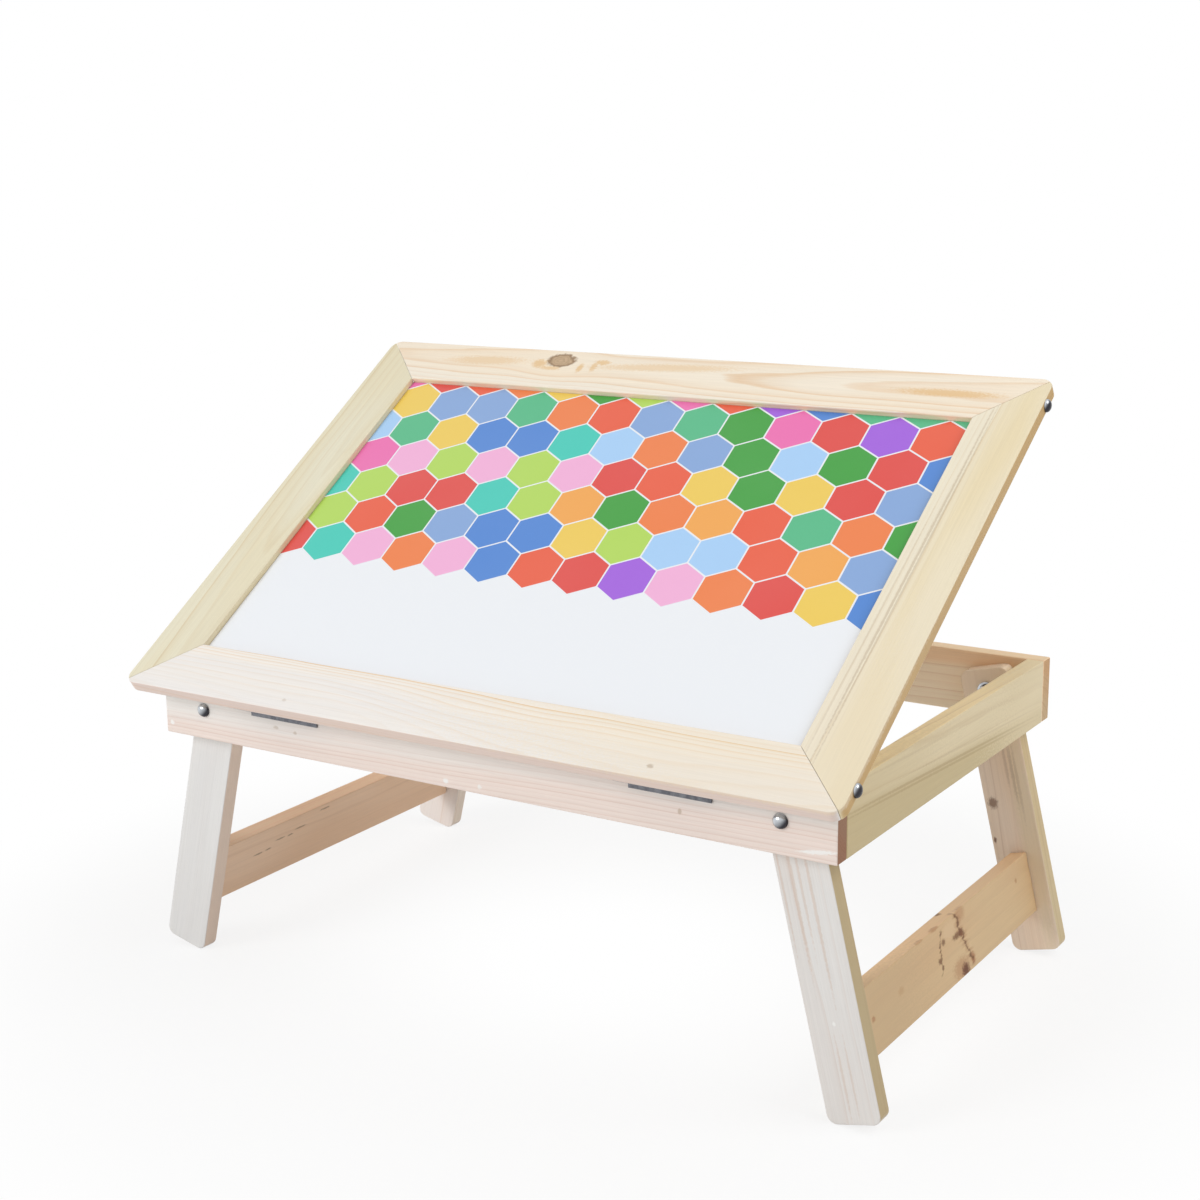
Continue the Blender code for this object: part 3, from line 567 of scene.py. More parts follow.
def nut_rings(half):
    """Hexagon nut: radius by angle = half its width over the flats / cos of the turn from the nearest flat.

    On its two faces a cone takes off the corners.
    """
    angle = np.arange(NUT_SIDES) * 2 * np.pi / NUT_SIDES
    points_on_y = half[1] > half[2]
    from_flat = (angle + (0.0 if points_on_y else np.pi / 6)) % (np.pi / 3) - np.pi / 6
    wall = min(half[1], half[2]) / np.cos(from_flat)
    return drilled_rings(half[0], NUT_CHAMFER, np.minimum(wall, wall.min() * NUT_CONE), wall)


# The heads darken to painted shade on faces turned down and to the right: a painted reflection.
head_steel = plated("steel_head", "D6DADE", "C0C4CA", 0.16, "3C3B40")
washer_zinc = plated("zinc_washer", "D2D6DB", "B4B8BD", 0.22)
for end, inward in (("front", BACK), ("rear", FRONT)):
    for hand in ("left", "right"):
        metal(f"{end}_{hand}_pivot_bolt", inward, UP, "base", head_steel, bolt_rings)
        metal(f"{end}_{hand}_washer", inward, UP, "base", washer_zinc, washer_rings, wrap=True)
        metal(f"{end}_{hand}_nut", inward, UP, "base", washer_zinc, nut_rings, wrap=True)


# Tray hinges: steel butt hinges, 64 mm long, one leaf screwed to the front rail's face and the other under
# the tray's overhang, the knuckles rolled round a pin.
hinge_steel = plated("zinc_hinge", "84858A", "616268", 0.3)
for hand in ("left", "right"):
    names = [f"{hand}_hinge_rail_leaf", f"{hand}_hinge_tray_leaf", f"{hand}_hinge_pin"]
    names += [f"{hand}_{leaf}_leaf_screw_{number}" for leaf in ("rail", "tray") for number in (1, 2, 3)]
    for name in names:
        frame["nodes"][name].material_slots[0].material = hinge_steel


# Tray frame: four planed pine members of 48 by 10 mm, mitred and glued at the corners, with a rebate that
# the board lies in and the outer corners rounded over.
TRAY_TILT = math.radians(33.0)
SLOPE = np.array((0.0, math.cos(TRAY_TILT), math.sin(TRAY_TILT)))
TRAY_OUT = np.array((0.0, -math.sin(TRAY_TILT), math.cos(TRAY_TILT)))
CORNER_RADIUS, REBATE_WIDTH, REBATE_LEVEL, BOARD_GAP = 0.010, 0.006, 0.0022, 0.0003
MITRE_GAP = BOARD_GAP / math.sqrt(2)


def member_plan(half_run, half_width, inner):
    """Plan of a member, anticlockwise: its outer edge, a corner arc up to each mitre, and its inner edge."""
    turn = np.linspace(-np.pi / 2, -np.pi / 4, 9)
    arc_x = half_run - CORNER_RADIUS * (1 - np.cos(turn))
    arc_y = -half_width + CORNER_RADIUS * (1 + np.sin(turn))
    arc_x[-1] -= MITRE_GAP
    foot = inner + half_width
    x = np.append(arc_x, half_run - foot - MITRE_GAP)
    y = np.append(arc_y, inner)
    return np.stack((np.append(x, -x[::-1]), np.append(y, y[::-1])), axis=-1)


def drawn_in(outline, distances):
    """Outline with each side moved in by its own distance: a corner is where its two moved sides cross."""
    side = np.roll(outline, -1, axis=0) - outline
    out = np.stack((side[:, 1], -side[:, 0]), axis=-1) / np.linalg.norm(side, axis=1)[:, None]
    level = np.sum(out * outline, axis=1) - distances
    pairs = np.stack((np.roll(out, 1, axis=0), out), axis=1)
    levels = np.stack((np.roll(level, 1), level), axis=-1)
    return np.linalg.solve(pairs, levels[..., None])[..., 0]


def member_rings(half, ease):
    """Plan pushed up through the thickness: rounded lower rim, wall, rebate step, wall, rounded upper rim.

    The mitred sides aren't drawn in.
    """
    insets, depths = rounded(ease)[1:]
    run = half[0] + CORNER_RADIUS * (1 - math.cos(math.pi / 4)) + MITRE_GAP
    wide = member_plan(run, half[1], half[1])
    narrow = member_plan(run, half[1], half[1] - REBATE_WIDTH)
    free = np.ones(len(wide))
    free[[len(wide) // 2 - 2, len(wide) // 2]] = 0.0

    def rim(plan, face, inward):
        """Rings of a rounded rim from its face to its wall; inward is 1 going up and -1 going down."""
        sides = [drawn_in(plan, free * inset) for inset in insets]
        return [np.insert(side, 2, face + inward * depth, axis=1) for side, depth in zip(sides, depths)]

    rings = rim(wide, -half[2], 1.0)
    rings += [np.insert(plan, 2, REBATE_LEVEL - half[2], axis=1) for plan in (wide, narrow)]
    rings += rim(narrow, half[2], -1.0)[::-1]
    return np.stack(rings)


KNOT_HALO, HONEY, PALE_STRAW = "E6BC7E", "F3DFB8", "F0E4CE"
members = {
    "tray_front_member": (RIGHT, dict(
        seed=21.0, heart=(0.0, -30.0, -24.0), ring_width=3.4, wander=30.0, taper=0.02, early="F1EDE9",
        late="E2B980", blush="F6F0E8", figure=1.3, sapwood=44.0, quiet=0.3,
        # Edge tone: pinker, darker narrow edges, partly the wood's own colour, partly painted shade on the
        # down-turned front edge.
        edge_tone="EFDFD8",
        marks=(
            ((300.0, 0.0, 5.0), (300.0, 60.0, 4.0), HONEY, 0.35),
            *marked(SPECK, 5.0, 2.0, (-148.8, -17.8, 2.0, 1.6, 0.3), (163.9, -16.8, 3.0, 1.8, 0.5)),
        ))),
    "tray_rear_member": (LEFT, dict(
        seed=24.0, heart=(0.0, -12.0, -22.0), ring_width=4.2, wander=18.0, taper=0.02, early="F8EAD4",
        late="DFAA68", blush="F7EEDE", figure=1.05, sapwood=36.0,
        knots=(((120.7, -14.0, 0.0), (14.0, 8.5, 1000.0), "CCB190", "7E6146"),),
        marks=(
            *marked(KNOT_HALO, 5.0, 4.0, (195.0, -8.5, 42.0, 6.0, 0.45, 0.05),
                    (140.0, -8.5, 7.5, 6.0, 0.7), (127.0, -3.5, 11.0, 2.6, 0.6),
                    (98.5, -6.0, 3.0, 6.0, 0.7), (86.0, -8.0, 3.2, 6.2, 0.6), (80.0, -14.5, 8.0, 3.4, 0.7),
                    (20.0, -12.5, 70.0, 5.0, 0.45, 0.06), (-230.0, -4.0, 45.0, 4.5, 0.7)),
        ))),
    "tray_left_member": (-SLOPE, dict(
        seed=27.0, heart=(0.0, 12.0, -30.0), ring_width=4.2, taper=0.02, early="E9E3CB",
        late="CFB27E", blush="E7DBB9", figure=0.55)),
    "tray_right_member": (SLOPE, dict(
        seed=31.0, heart=(0.0, -16.0, -26.0), ring_width=3.0, taper=0.016, early="ECDCB6",
        late="CDAA6C", blush="F1E8D2", figure=0.6, sapwood=36.0, quiet=0.35,
        # Edge tone: darker narrow edges, partly the wood's own colour, partly painted shade on the
        # right-facing edge.
        edge_tone="D6BE9C",
        marks=(
            ((-220.0, 0.0, 5.0), (200.0, 60.0, 4.0), PALE_STRAW, 0.45),
            *marked(LATE_LINE, 5.0, 2.0, (0.0, 8.5, 210.0, 1.1, 0.3, -0.004),
                    (0.0, 6.0, 210.0, 0.9, 0.26, -0.004), (-60.0, 14.5, 150.0, 0.9, 0.16, -0.004)),
        ))),
}
for node, (run, finish) in members.items():
    wooden(node, run, TRAY_OUT, "tray", "pine", finish, member_rings)


# Corner screws: steel screws driven through each mitre from the tray's sides, with proud domed heads on the
# right edge and flat cross-recessed heads sunk flush on the left.
DOMED_SHANK, DOMED_HEAD_HEIGHT, SCREW_TIP = 0.0018, 0.0034, 0.0002
SUNK_SHANK, RECESS_REACH, RECESS_DEPTH = 0.0014, 0.0018, 0.0009


def sunk_head(half, sides=48):
    """Flat screw head turned round X: a cross recess, the flat face, its cone, the shank and the point.

    The recess's rim at angle a is reach (0.35 + 0.65 |cos 2a| to the sixth power).
    """
    angle = np.arange(sides) * 2 * np.pi / sides
    cross = RECESS_REACH * (0.35 + 0.65 * np.abs(np.cos(2 * angle)) ** 6)
    face = -half[0]
    x = (face + RECESS_DEPTH, face, face, face + half[1] - SUNK_SHANK, half[0] - 2 * SUNK_SHANK, half[0])
    rounds = [np.full(sides, radius) for radius in (half[1], SUNK_SHANK, SUNK_SHANK, SCREW_TIP)]
    return round_rings(x, np.stack([0.5 * cross, cross, *rounds]), sides)


def domed_head(half):
    """Domed screw with a pointed end."""
    return domed_rings(half, DOMED_HEAD_HEIGHT, DOMED_SHANK, 2 * DOMED_SHANK, SCREW_TIP)


for end in ("front", "rear"):
    metal(f"{end}_left_tray_screw", RIGHT, TRAY_OUT, "tray", head_steel, sunk_head)
    metal(f"{end}_right_tray_screw", LEFT, TRAY_OUT, "tray", head_steel, domed_head)


# Writing board: 3 mm hardboard with a printed, satin-laminated face, let into the tray's rebate. The print
# is a mosaic of hexagon tiles over the upper part, with bluish white below its stepped edge.
TILE_PITCH, PRINT_EDGE, EDGE_STEP, LAMINATE, BOARD_EASE = 0.040, -0.064, 0.7, 0.0004, 0.0003
GRID_SHIFT, ROOT_3, GROUT_START, GROUT_END = 40.0, math.sqrt(3.0), 0.478, 0.488
tiles = ("A35CE0", "F06FB4", "F6B3DC", "E2443B", "EC5A35", "F2803E", "F5A94B", "F2CE55", "B5DB57", "2F9E2C",
         "4DBB86", "37CDBB", "A9D2FA", "86A9DC", "4A86D6")


def print_finish(place, half):
    """Laminate: hexagon cells are the nearer of two offset brick grids' centres, each cell one tile.

    The grid is shifted by whole tiles to keep its numbers positive, and centres are snapped so that a
    cell draws one number all over. A cell is bare where its centre, less a random share of the edge
    step, lies below the print's edge. Below the laminate is hardboard.
    """
    material, tree, shader = blank("laminate_print")
    own = own_axes(tree, place)[0]
    middle = (0.5, ROOT_3 / 2, 0.0)

    def from_middle(point):
        """Offset of a point from the middle of the brick that it lies in."""
        corner = vec(tree, "SNAP", point, (1.0, ROOT_3, 1.0))
        return vec(tree, "SUBTRACT", vec(tree, "SUBTRACT", point, corner), middle)

    def dice(point):
        """Random share of the point's cell."""
        return add(tree, "TexWhiteNoise", {"Vector": point}, noise_dimensions="2D").outputs[0]

    flat = vec(tree, "MULTIPLY", own, (1 / TILE_PITCH, 1 / TILE_PITCH, 0.0))
    flat = vec(tree, "ADD", flat, (GRID_SHIFT, GRID_SHIFT * ROOT_3, 0.0))
    first, second = from_middle(flat), from_middle(vec(tree, "ADD", flat, middle))
    nearer = calc(tree, "LESS_THAN", vec(tree, "LENGTH", second), vec(tree, "LENGTH", first))
    within = add(tree, "Mix", {0: nearer, 4: first, 5: second}, data_type="VECTOR").outputs[1]
    centre = vec(tree, "ADD", vec(tree, "SUBTRACT", flat, within), (0.02, 0.02, 0.0))
    centre = vec(tree, "SNAP", centre, (0.05, 0.05, 1.0))
    stops = [(index / len(tiles), tone(code)) for index, code in enumerate(tiles)]
    colour = ramp(tree, dice(centre), stops, "CONSTANT")
    spread = vec(tree, "ABSOLUTE", within)
    slant = vec(tree, "DOT_PRODUCT", spread, middle)
    rim = calc(tree, "MAXIMUM", slant, add(tree, "SeparateXYZ", {0: spread}).outputs[0])
    white = "F1F4F8"
    colour = tint(tree, smooth(tree, rim, GROUT_START, GROUT_END), colour, white)
    height = add(tree, "SeparateXYZ", {0: centre}).outputs[1]
    ragged = dice(vec(tree, "ADD", centre, (17.0, 9.0, 0.0)))
    stepped = calc(tree, "MULTIPLY_ADD", ragged, -EDGE_STEP, height)
    bare = calc(tree, "LESS_THAN", stepped, PRINT_EDGE / TILE_PITCH + GRID_SHIFT * ROOT_3)
    colour = tint(tree, bare, colour, white)
    haze = grained(tree, own, (9.0, 9.0, 9.0), 3.0)
    colour = tint(tree, calc(tree, "MULTIPLY", haze, 0.05), colour, "F4F6FA")
    speck = grained(tree, own, (420.0, 420.0, 420.0))
    fibres = grained(tree, own, (900.0, 1300.0, 900.0), 3.0)
    hardboard = tint(tree, fibres, "6E4B30", "9A7148")
    level = add(tree, "SeparateXYZ", {0: own}).outputs[2]
    faced = calc(tree, "GREATER_THAN", level, half[2] - LAMINATE)
    satin = calc(tree, "MULTIPLY_ADD", haze, 0.10, 0.26)
    rough = add(tree, "Mix", {0: faced, 2: 0.7, 3: satin}, data_type="FLOAT").outputs[0]
    colour = tint(tree, faced, hardboard, colour)
    dress(tree, shader, colour, rough, speck, strength=0.05, distance=0.0002)
    return material


place, half = seat("writing_board", RIGHT, TRAY_OUT)
board = loft("laminate_writing_board", bar_rings(half, BOARD_EASE), place, print_finish(place, half))
settle(board, "tray", "laminate", "writing_board")


# Batten and prop: a pine batten glued under the board, a folded steel clevis screwed to it, and a pine
# strut on the clevis pin with a rubber shoe pressed on its end.
batten_finish = dict(seed=41.0, heart=(0.0, 20.0, -50.0), ring_width=3.8, **SIDE_TONES)
wooden("tray_batten", SLOPE, -TRAY_OUT, "tray", "pine", batten_finish)
clevis_zinc = plated("zinc_clevis", "B4B7BC", "90949A", 0.25)
for name in ("prop_clevis", "prop_pin", "clevis_screw_1", "clevis_screw_2"):
    frame["nodes"][name].material_slots[0].material = clevis_zinc

swing = next(joint for joint in frame["joints"] if joint["name"] == "prop_swing")
low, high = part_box("prop_shoe")
toe = (np.array(low) + np.array(high)) / 2
prop_way = toe - np.array(swing["pos_m"])
prop_way[0] = 0.0
prop_way /= np.linalg.norm(prop_way)
strut_place = seat("prop_strut", prop_way, np.cross(prop_way, RIGHT))[0]
frame["nodes"]["prop_strut"].material_slots[0].material = pine(
    "pine_prop", strut_place, seed=44.0, heart=(0.0, 14.0, -30.0), ring_width=3.0, **SIDE_TONES)


def rubber_finish():
    """Moulded rubber: black with a dusty bloom and a fine grain."""
    material, tree, shader = blank("rubber_shoe")
    source = add(tree, "TexCoord").outputs["Object"]
    bloom = grained(tree, source, (260.0, 260.0, 260.0), 3.0)
    grain = grained(tree, source, (2600.0, 2600.0, 2600.0), 1.0)
    colour = tint(tree, bloom, "1B1B1C", "3A3A3B")
    rough = calc(tree, "MULTIPLY_ADD", bloom, 0.2, 0.62)
    dress(tree, shader, colour, rough, grain, strength=0.3, distance=0.0002)
    return material


frame["nodes"]["prop_shoe"].material_slots[0].material = rubber_finish()


# Legs: four pine legs of 40 by 14 mm, their flat heads and feet rounded at the corners, each drilled for its
# pivot bolt and splayed outwards until it bears on the side rail.
LEG_SPLAY, HEAD_RADIUS, FOOT_RADIUS, LEG_HEAD = math.radians(13.5), 0.007, 0.007, 0.018
HIGHEST_RAY, LOWEST_RAY = math.radians(20.0), math.radians(-80.0)


def leg_rings(half, ease):
    """Skin of a drilled leg as one closed band: hole edge, face, rounded rim, side, rim, face, hole wall.

    The outline is seen from the hole: two head corners, sides met by evenly turned rays, two foot
    corners. The rims draw it in.
    """
    head = half[0] - LEG_HEAD
    corner = np.linspace(0.0, np.pi / 2, 9)
    rays = np.tan(np.linspace(HIGHEST_RAY, LOWEST_RAY, 21))

    def outline(inset):
        """Outline drawn in by an inset, as places across and along the leg from its hole."""
        across = half[1] - inset
        rays_y = rays * half[1]
        head_x, head_y = half[1] - HEAD_RADIUS, LEG_HEAD - HEAD_RADIUS
        foot_x, foot_y = half[1] - FOOT_RADIUS, -half[0] - head + FOOT_RADIUS
        r_head, r_foot = HEAD_RADIUS - inset, FOOT_RADIUS - inset
        x = np.concatenate((head_x + r_head * np.cos(corner), -head_x - r_head * np.sin(corner),
                            np.full(len(rays), -across), -foot_x - r_foot * np.cos(corner),
                            foot_x + r_foot * np.sin(corner), np.full(len(rays), across)))
        y = np.concatenate((head_y + r_head * np.sin(corner), head_y + r_head * np.cos(corner),
                            rays_y, foot_y - r_foot * np.sin(corner),
                            foot_y - r_foot * np.cos(corner), rays_y[::-1]))
        return x, y

    x, y = outline(ease)
    share = (BOLT_SHANK + BOLT_CLEARANCE) / np.hypot(x, y)
    hole = (share * x, share * y)
    insets, depths = rounded(ease)[1:]
    bands = [(*hole, -half[2])]
    bands += [(*outline(inset), depth - half[2]) for inset, depth in zip(insets, depths)]
    bands += [(*outline(inset), half[2] - depth) for inset, depth in zip(insets[::-1], depths[::-1])]
    bands += [(*hole, half[2])]
    return np.stack([np.stack((head + y, -x, np.full(len(x), z)), axis=-1) for x, y, z in bands])


DARK_RESIN, NAIL_FILL, RED_STREAK = "7C5C4A", "F2F1EE", "C7A387"
LEG_PAINTED_LIGHT, STRAW_SIDE = "FFE8CA", "DDCFA8"
# The edge tones make the legs' narrow sides tanner and darker: partly the wood's own colour, partly painted
# shade.
leg_finishes = {
    "left_front_leg": dict(
        seed=50.0, heart=(0.0, -8.0, -40.0), ring_width=6.0, early="E5E4E2", late="D0C8C0",
        blush="DEDCDA", figure=0.18, edge_tone=(1.12, 0.93, 0.8, 1.0)),
    "right_front_leg": dict(
        seed=53.0, heart=(0.0, 34.0, -30.0), ring_width=4.6, early="E4E2DF",
        late="C9A993", blush="E0DAD5", figure=0.22, edge_tone="D3C097",
        marks=(
            *marked(RED_STREAK, 7.0, 2.0, (50.0, 17.0, 50.0, 0.9, 0.32), (45.0, 8.8, 60.0, 1.5, 0.35),
                    (50.0, 3.2, 50.0, 1.1, 0.3), (30.0, -3.6, 65.0, 1.3, 0.35),
                    (-83.0, 1.6, 30.0, 1.1, 0.28), (-83.0, -4.6, 30.0, 1.0, 0.25)),
            ((-45.3, 0.1, 7.0), (1.6, 1.4, 2.0), NAIL_FILL, 0.9),
        )),
    "left_rear_leg": dict(
        seed=56.0, heart=(0.0, 20.0, -38.0), ring_width=5.0, early="F6F0EC", late="DEC8B6",
        blush="F5E9E2", figure=0.35),
    "right_rear_leg": dict(
        seed=58.0, heart=(0.0, 30.0, 34.0), ring_width=4.6, early="F1DFCC", late="B48D70",
        blush="E6C8A6", figure=0.4, edge_tone="DDD9BC",
        marks=(
            # Painted light over the leg's head, which lies in the rails' shade.
            ((105.0, 0.0, -7.0), (50.0, 40.0, 20.0), LEG_PAINTED_LIGHT, 0.55),
            ((-20.0, 13.0, -7.0), (110.0, 9.0, 3.0), STRAW_SIDE, 0.4),
            *marked(DARK_RESIN, -7.0, 3.0, (6.9, -13.1, 5.0, 4.4, 0.8), (-23.5, -17.2, 2.6, 1.4, 0.9)),
            *marked(DARK_RESIN, -7.0, 2.0, (38.0, 3.5, 20.0, 1.5, 0.25), (30.0, 8.0, 28.0, 1.6, 0.3),
                    (22.0, 11.2, 32.0, 1.4, 0.2)),
        )),
}
for hand, side in (("left", -1.0), ("right", 1.0)):
    leg_up = np.array((-side * math.sin(LEG_SPLAY), 0.0, math.cos(LEG_SPLAY)))
    for end, face in (("front", FRONT), ("rear", BACK)):
        node = f"{hand}_{end}_leg"
        wooden(node, leg_up, face, f"{hand}_legs", "pine_leg", leg_finishes[node], leg_rings, wrap=True)


# Stretchers: a flat pine bar between the two legs of each pair, glued and nailed through the legs. The right
# one has a cracked dead knot across its face, the left one short resin streaks.
RED_RESIN, BARK, DEAD_KNOT = "A5693F", "7A5330", "6B3F22"
PALE_KNOT, STRETCHER_PAINTED_SHADE = "DFC29B", "BCA27E"


def cross_crack():
    """Group: a crack that wanders across the grain and gapes unevenly.

    Its distance is |offset along the grain - lean times the offset across - wander times a noise|. A
    second noise sets how wide and dark it is, and it fades past its half length and below the face.
    """
    inputs = {"Place": "Vector", "Centre": "Vector", "Half Length": "Float", "Lean": "Float",
              "Wander": "Float", "Width": "Float"}
    tree, get, put = group("cross_crack", inputs, {"Mask": "Float"})
    offset = vec(tree, "SUBTRACT", get["Place"], get["Centre"])
    along, across, depth = add(tree, "SeparateXYZ", {0: offset}).outputs
    own = scaled(tree, get["Centre"], 900.0)
    sway = noise(tree, vec(tree, "MULTIPLY_ADD", get["Place"], (0.0, 150.0, 0.0), own), 2.0)
    sway = calc(tree, "MULTIPLY", centred(tree, sway), get["Wander"])
    sway = calc(tree, "MULTIPLY_ADD", across, get["Lean"], sway)
    gape = noise(tree, vec(tree, "MULTIPLY_ADD", get["Place"], (60.0, 380.0, 0.0), own), 2.0)
    gape = smooth(tree, gape, 0.35, 0.65)
    width = calc(tree, "MULTIPLY", calc(tree, "MULTIPLY_ADD", gape, 1.2, 0.4), get["Width"])
    distance = calc(tree, "DIVIDE", calc(tree, "ABSOLUTE", calc(tree, "SUBTRACT", along, sway)), width)
    reach = calc(tree, "DIVIDE", calc(tree, "ABSOLUTE", across), get["Half Length"])
    mask = calc(tree, "MULTIPLY", smooth(tree, distance, 1.2, 0.2), smooth(tree, reach, 1.1, 0.85))
    mask = calc(tree, "MULTIPLY", mask, smooth(tree, calc(tree, "ABSOLUTE", depth), 0.005, 0.003))
    tree.links.new(calc(tree, "MULTIPLY", mask, calc(tree, "MULTIPLY_ADD", gape, 0.5, 0.5)), put["Mask"])
    return tree


def cracked(material, place, cracks):
    """Cracks laid over a wood's colour: (centre, half length, lean, wander, width, colour, strength).

    Their lengths are in millimetres.
    """
    tree = material.node_tree
    base = tree.nodes["Principled BSDF"].inputs["Base Color"]
    colour = base.links[0].from_socket
    own = own_axes(tree, place)[0]
    shared = cross_crack()
    for centre, half_length, lean, wander, width, crack_tone, strength in cracks:
        inputs = {"Place": own, "Centre": metres(centre), "Half Length": half_length / 1000, "Lean": lean,
                  "Wander": wander / 1000, "Width": width / 1000}
        mask = use(tree, shared, inputs)["Mask"]
        colour = tint(tree, calc(tree, "MULTIPLY", mask, strength), colour, crack_tone)
    tree.links.new(colour, base)


# Edge tones above 1 are painted light on the stretchers' narrow edges, the top ones lying in the shade of
# the rails and tray.
stretcher_finishes = {
    "left": dict(
        seed=61.0, heart=(0.0, 26.0, -42.0), ring_width=5.2, early="F6D7BB", late="C0926C",
        blush="EDC7A5", figure=0.3, edge_tone=(1.15, 1.1, 1.05, 1.0),
        marks=marked(BARK, -7.0, 3.0, (-106.7, -3.3, 6.0, 0.9, 0.55), (-94.4, -3.8, 4.0, 0.9, 0.55),
                     (-80.5, -9.0, 6.0, 0.9, 0.55), (-67.7, -8.5, 4.0, 0.9, 0.55),
                     (-55.3, -11.7, 8.0, 0.9, 0.55), (-24.9, -20.0, 7.0, 0.9, 0.55))),
    "right": dict(
        seed=67.0, heart=(0.0, 30.0, -38.0), ring_width=6.4, early="D6B98F", late="B89065",
        blush="D0AC83", figure=0.15, edge_tone=(1.28, 1.26, 1.32, 1.0),
        marks=(
            # Painted shade over the stretcher's front end.
            ((-160.0, 0.0, 7.0), (120.0, 60.0, 20.0), STRETCHER_PAINTED_SHADE, 0.4),
            ((1.0, 15.0, 7.0), (14.0, 6.5, 3.0), PALE_KNOT, 0.5),
            ((24.0, 20.5, 7.0), (8.5, 6.0, 4.0), RED_RESIN, 0.4),
            ((12.0, 7.5, 7.0), (8.5, 2.6, 3.0), BARK, 0.9),
            ((19.5, 7.2, 7.0), (4.6, 3.6, 3.0), DEAD_KNOT, 1.0),
            *marked(BARK, 7.0, 3.0, (-11.5, 10.5, 3.4, 2.6, 0.85), (-22.2, 0.0, 3.0, 2.4, 0.9)),
            ((10.0, -16.5, 7.0), (15.0, 8.5, 4.0), RED_RESIN, 0.45),
            ((16.0, -20.0, 6.0), (7.5, 5.8, 4.0), DEAD_KNOT, 1.0),
            ((31.5, -16.5, 7.0), (3.6, 5.0, 3.0), RED_RESIN, 0.7),
            ((11.0, 24.0, -5.0), (3.5, 2.0, 3.0), BARK, 0.8),
            *marked(RED_RESIN, 6.0, 2.5, (-21.5, 23.8, 8.0, 1.6, 0.5), (-48.0, 23.8, 6.0, 1.4, 0.35)),
            *marked(RED_RESIN, 7.0, 3.0, (-134.8, 0.5, 3.0, 2.2, 0.6), (-88.8, 3.0, 5.0, 3.0, 0.25),
                    (131.2, 10.0, 2.4, 2.2, 0.5)),
        )),
}
RIGHT_CRACK = ((22.5, 3.0, 7.0), 23.5, -0.36, 16.0)
LEFT_CRACK = ((-17.5, 4.5, 7.0), 15.0, 0.28, 14.0)
knot_cracks = ((*RIGHT_CRACK, 6.0, RED_RESIN, 0.35), (*RIGHT_CRACK, 1.9, BARK, 1.0),
               (*LEFT_CRACK, 1.6, BARK, 0.9))
for hand, side in (("left", -1.0), ("right", 1.0)):
    leg_out = np.array((side * math.cos(LEG_SPLAY), 0.0, math.sin(LEG_SPLAY)))
    place, material = wooden(f"{hand}_stretcher", BACK, leg_out, f"{hand}_legs", "pine_stretcher",
                             stretcher_finishes[hand])
    if hand == "right":
        cracked(material, place, knot_cracks)


# Studio: a pale floor with a soft shade round the feet, a large soft light from the front left, a weaker
# one from the upper right, and an even surround. Camera and mirror rays see all but that shade as white.
FLOOR_SPAN, FLOOR_DROP, FLOOR_SHADE = 6.0, 0.0002, 0.18
SHADE_START, SHADE_FULL, SHADE_END = 0.05, 0.36, 0.62
WHITE, AMBIENT = "FFFFFF", 0.50
TABLE_MIDDLE = Vector((0.0, 0.0, 0.2))


def seen_rays(tree):
    """1 for camera, glossy and transmission rays, and 0 for the rays that carry light."""
    light = add(tree, "LightPath")
    seen = calc(tree, "MAXIMUM", light.outputs["Is Camera Ray"], light.outputs["Is Glossy Ray"])
    return calc(tree, "MAXIMUM", seen, light.outputs["Is Transmission Ray"])


def floor_finish():
    """Matt pale floor, which seen rays find white but for a share of its own shade round the feet.

    That share is the floor shade times a smooth step up to the full distance and one down from it.
    """
    material, tree, shader = blank("studio_floor")
    source = add(tree, "TexCoord").outputs["Object"]
    grain = grained(tree, source, (60.0, 60.0, 60.0), 3.0)
    tree.links.new(tint(tree, grain, "F6F6F6", "F9F9F9"), shader.inputs["Base Color"])
    shader.inputs["Roughness"].default_value = 0.9
    shader.inputs["Specular IOR Level"].default_value = 0.0
    distance = vec(tree, "LENGTH", source)
    shaded = calc(tree, "MULTIPLY", smooth(tree, distance, SHADE_START, SHADE_FULL),
                  smooth(tree, distance, SHADE_END, SHADE_FULL))
    share = calc(tree, "MULTIPLY", seen_rays(tree), calc(tree, "MULTIPLY_ADD", shaded, -FLOOR_SHADE, 1.0))
    white = add(tree, "Emission", {"Color": WHITE, "Strength": 1.0})
    joined = add(tree, "MixShader", {0: share, 1: shader.outputs[0], 2: white.outputs[0]})
    tree.links.new(joined.outputs[0], tree.nodes["Material Output"].inputs["Surface"])
    return material


steps = np.linspace(-FLOOR_SPAN, FLOOR_SPAN, 13)
u, v = np.meshgrid(steps, steps, indexing="ij")
points = np.stack((u, v, np.full(u.shape, -FLOOR_DROP)), axis=-1).reshape(-1, 3)
grid = np.arange(points.shape[0]).reshape(u.shape)
faces = np.stack((grid[:-1, :-1], grid[1:, :-1], grid[1:, 1:], grid[:-1, 1:]), axis=-1).reshape(-1, 4)
floor_mesh = bpy.data.meshes.new("studio_floor")
floor_mesh.from_pydata(points.tolist(), [], faces.tolist())
floor_mesh.materials.append(floor_finish())
floor = bpy.data.objects.new("studio_floor", floor_mesh)
bpy.context.collection.objects.link(floor)

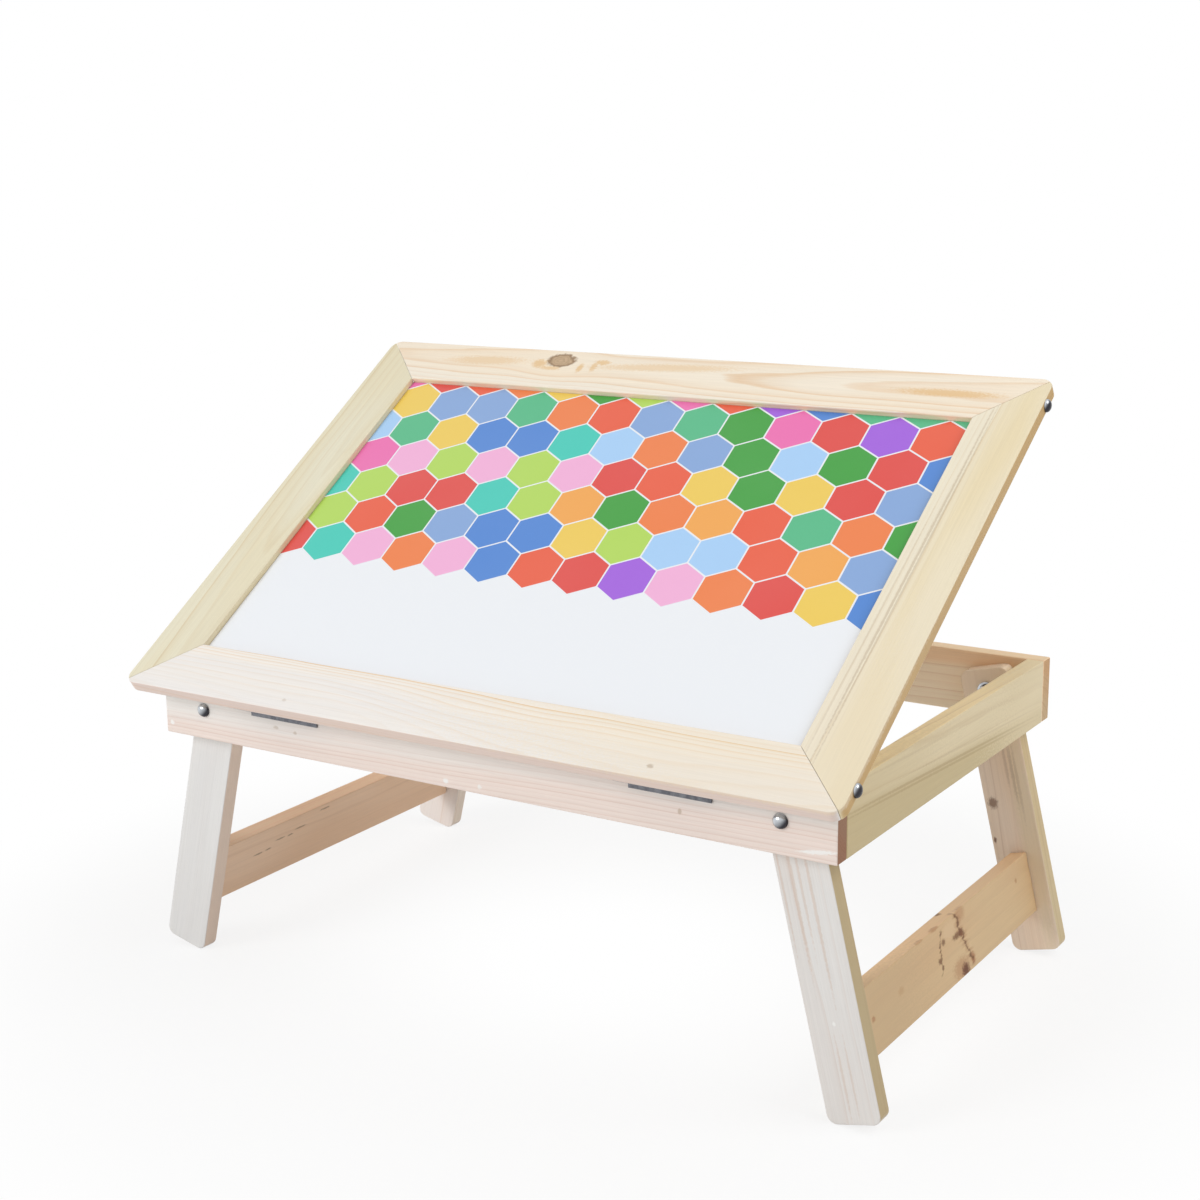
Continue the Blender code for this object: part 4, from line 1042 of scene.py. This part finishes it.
world = bpy.data.worlds.new("studio")
world.use_nodes = True
bpy.context.scene.world = world
tree = world.node_tree
tree.nodes.clear()
ambient = add(tree, "Background", {"Color": WHITE, "Strength": AMBIENT})
backdrop = add(tree, "Background", {"Color": WHITE, "Strength": 1.0})
shown = add(tree, "MixShader", {0: seen_rays(tree), 1: ambient.outputs[0], 2: backdrop.outputs[0]})
tree.links.new(shown.outputs[0], add(tree, "OutputWorld").inputs["Surface"])


def soft_light(name, place, size, power):
    """Square soft light aimed at the middle of the table; its size is in metres and its power in watts."""
    lamp = bpy.data.lights.new(name, "AREA")
    lamp.shape, lamp.size, lamp.energy = "SQUARE", size, power
    holder = bpy.data.objects.new(name, lamp)
    holder.location = place
    holder.rotation_euler = (TABLE_MIDDLE - holder.location).to_track_quat("-Z", "Y").to_euler()
    bpy.context.collection.objects.link(holder)


soft_light("key_light", (-1.8, -3.0, 1.7), 1.6, 55.0)
soft_light("fill_light", (1.9, 0.25, 2.1), 1.6, 24.0)


# Camera: the photograph's view, a little above the tray and to the right of the front, with a slight roll
# and a lens of 60 mm on a 36 mm sensor.
YAW, PITCH, ROLL = math.radians(32.49), math.radians(13.28), math.radians(-0.64)
CAMERA_PLACE, SENSOR_WIDTH, FOCAL_LENGTH = (0.8079, -1.2676, 0.6451), 36.0, 60.12
ahead = np.array((-math.sin(YAW) * math.cos(PITCH), math.cos(YAW) * math.cos(PITCH), -math.sin(PITCH)))
level = np.array((math.cos(YAW), math.sin(YAW), 0.0))
above = np.cross(level, ahead)
turned = np.stack((level * math.cos(ROLL) + above * math.sin(ROLL),
                   above * math.cos(ROLL) - level * math.sin(ROLL), -ahead), axis=-1)
lens = bpy.data.cameras.new("camera")
lens.sensor_width, lens.lens = SENSOR_WIDTH, FOCAL_LENGTH
camera = bpy.data.objects.new("camera", lens)
camera.matrix_world = Matrix.Translation(CAMERA_PLACE) @ Matrix(turned.tolist()).to_4x4()
bpy.context.collection.objects.link(camera)
bpy.context.scene.camera = camera
bpy.context.scene.view_settings.view_transform = "Standard"
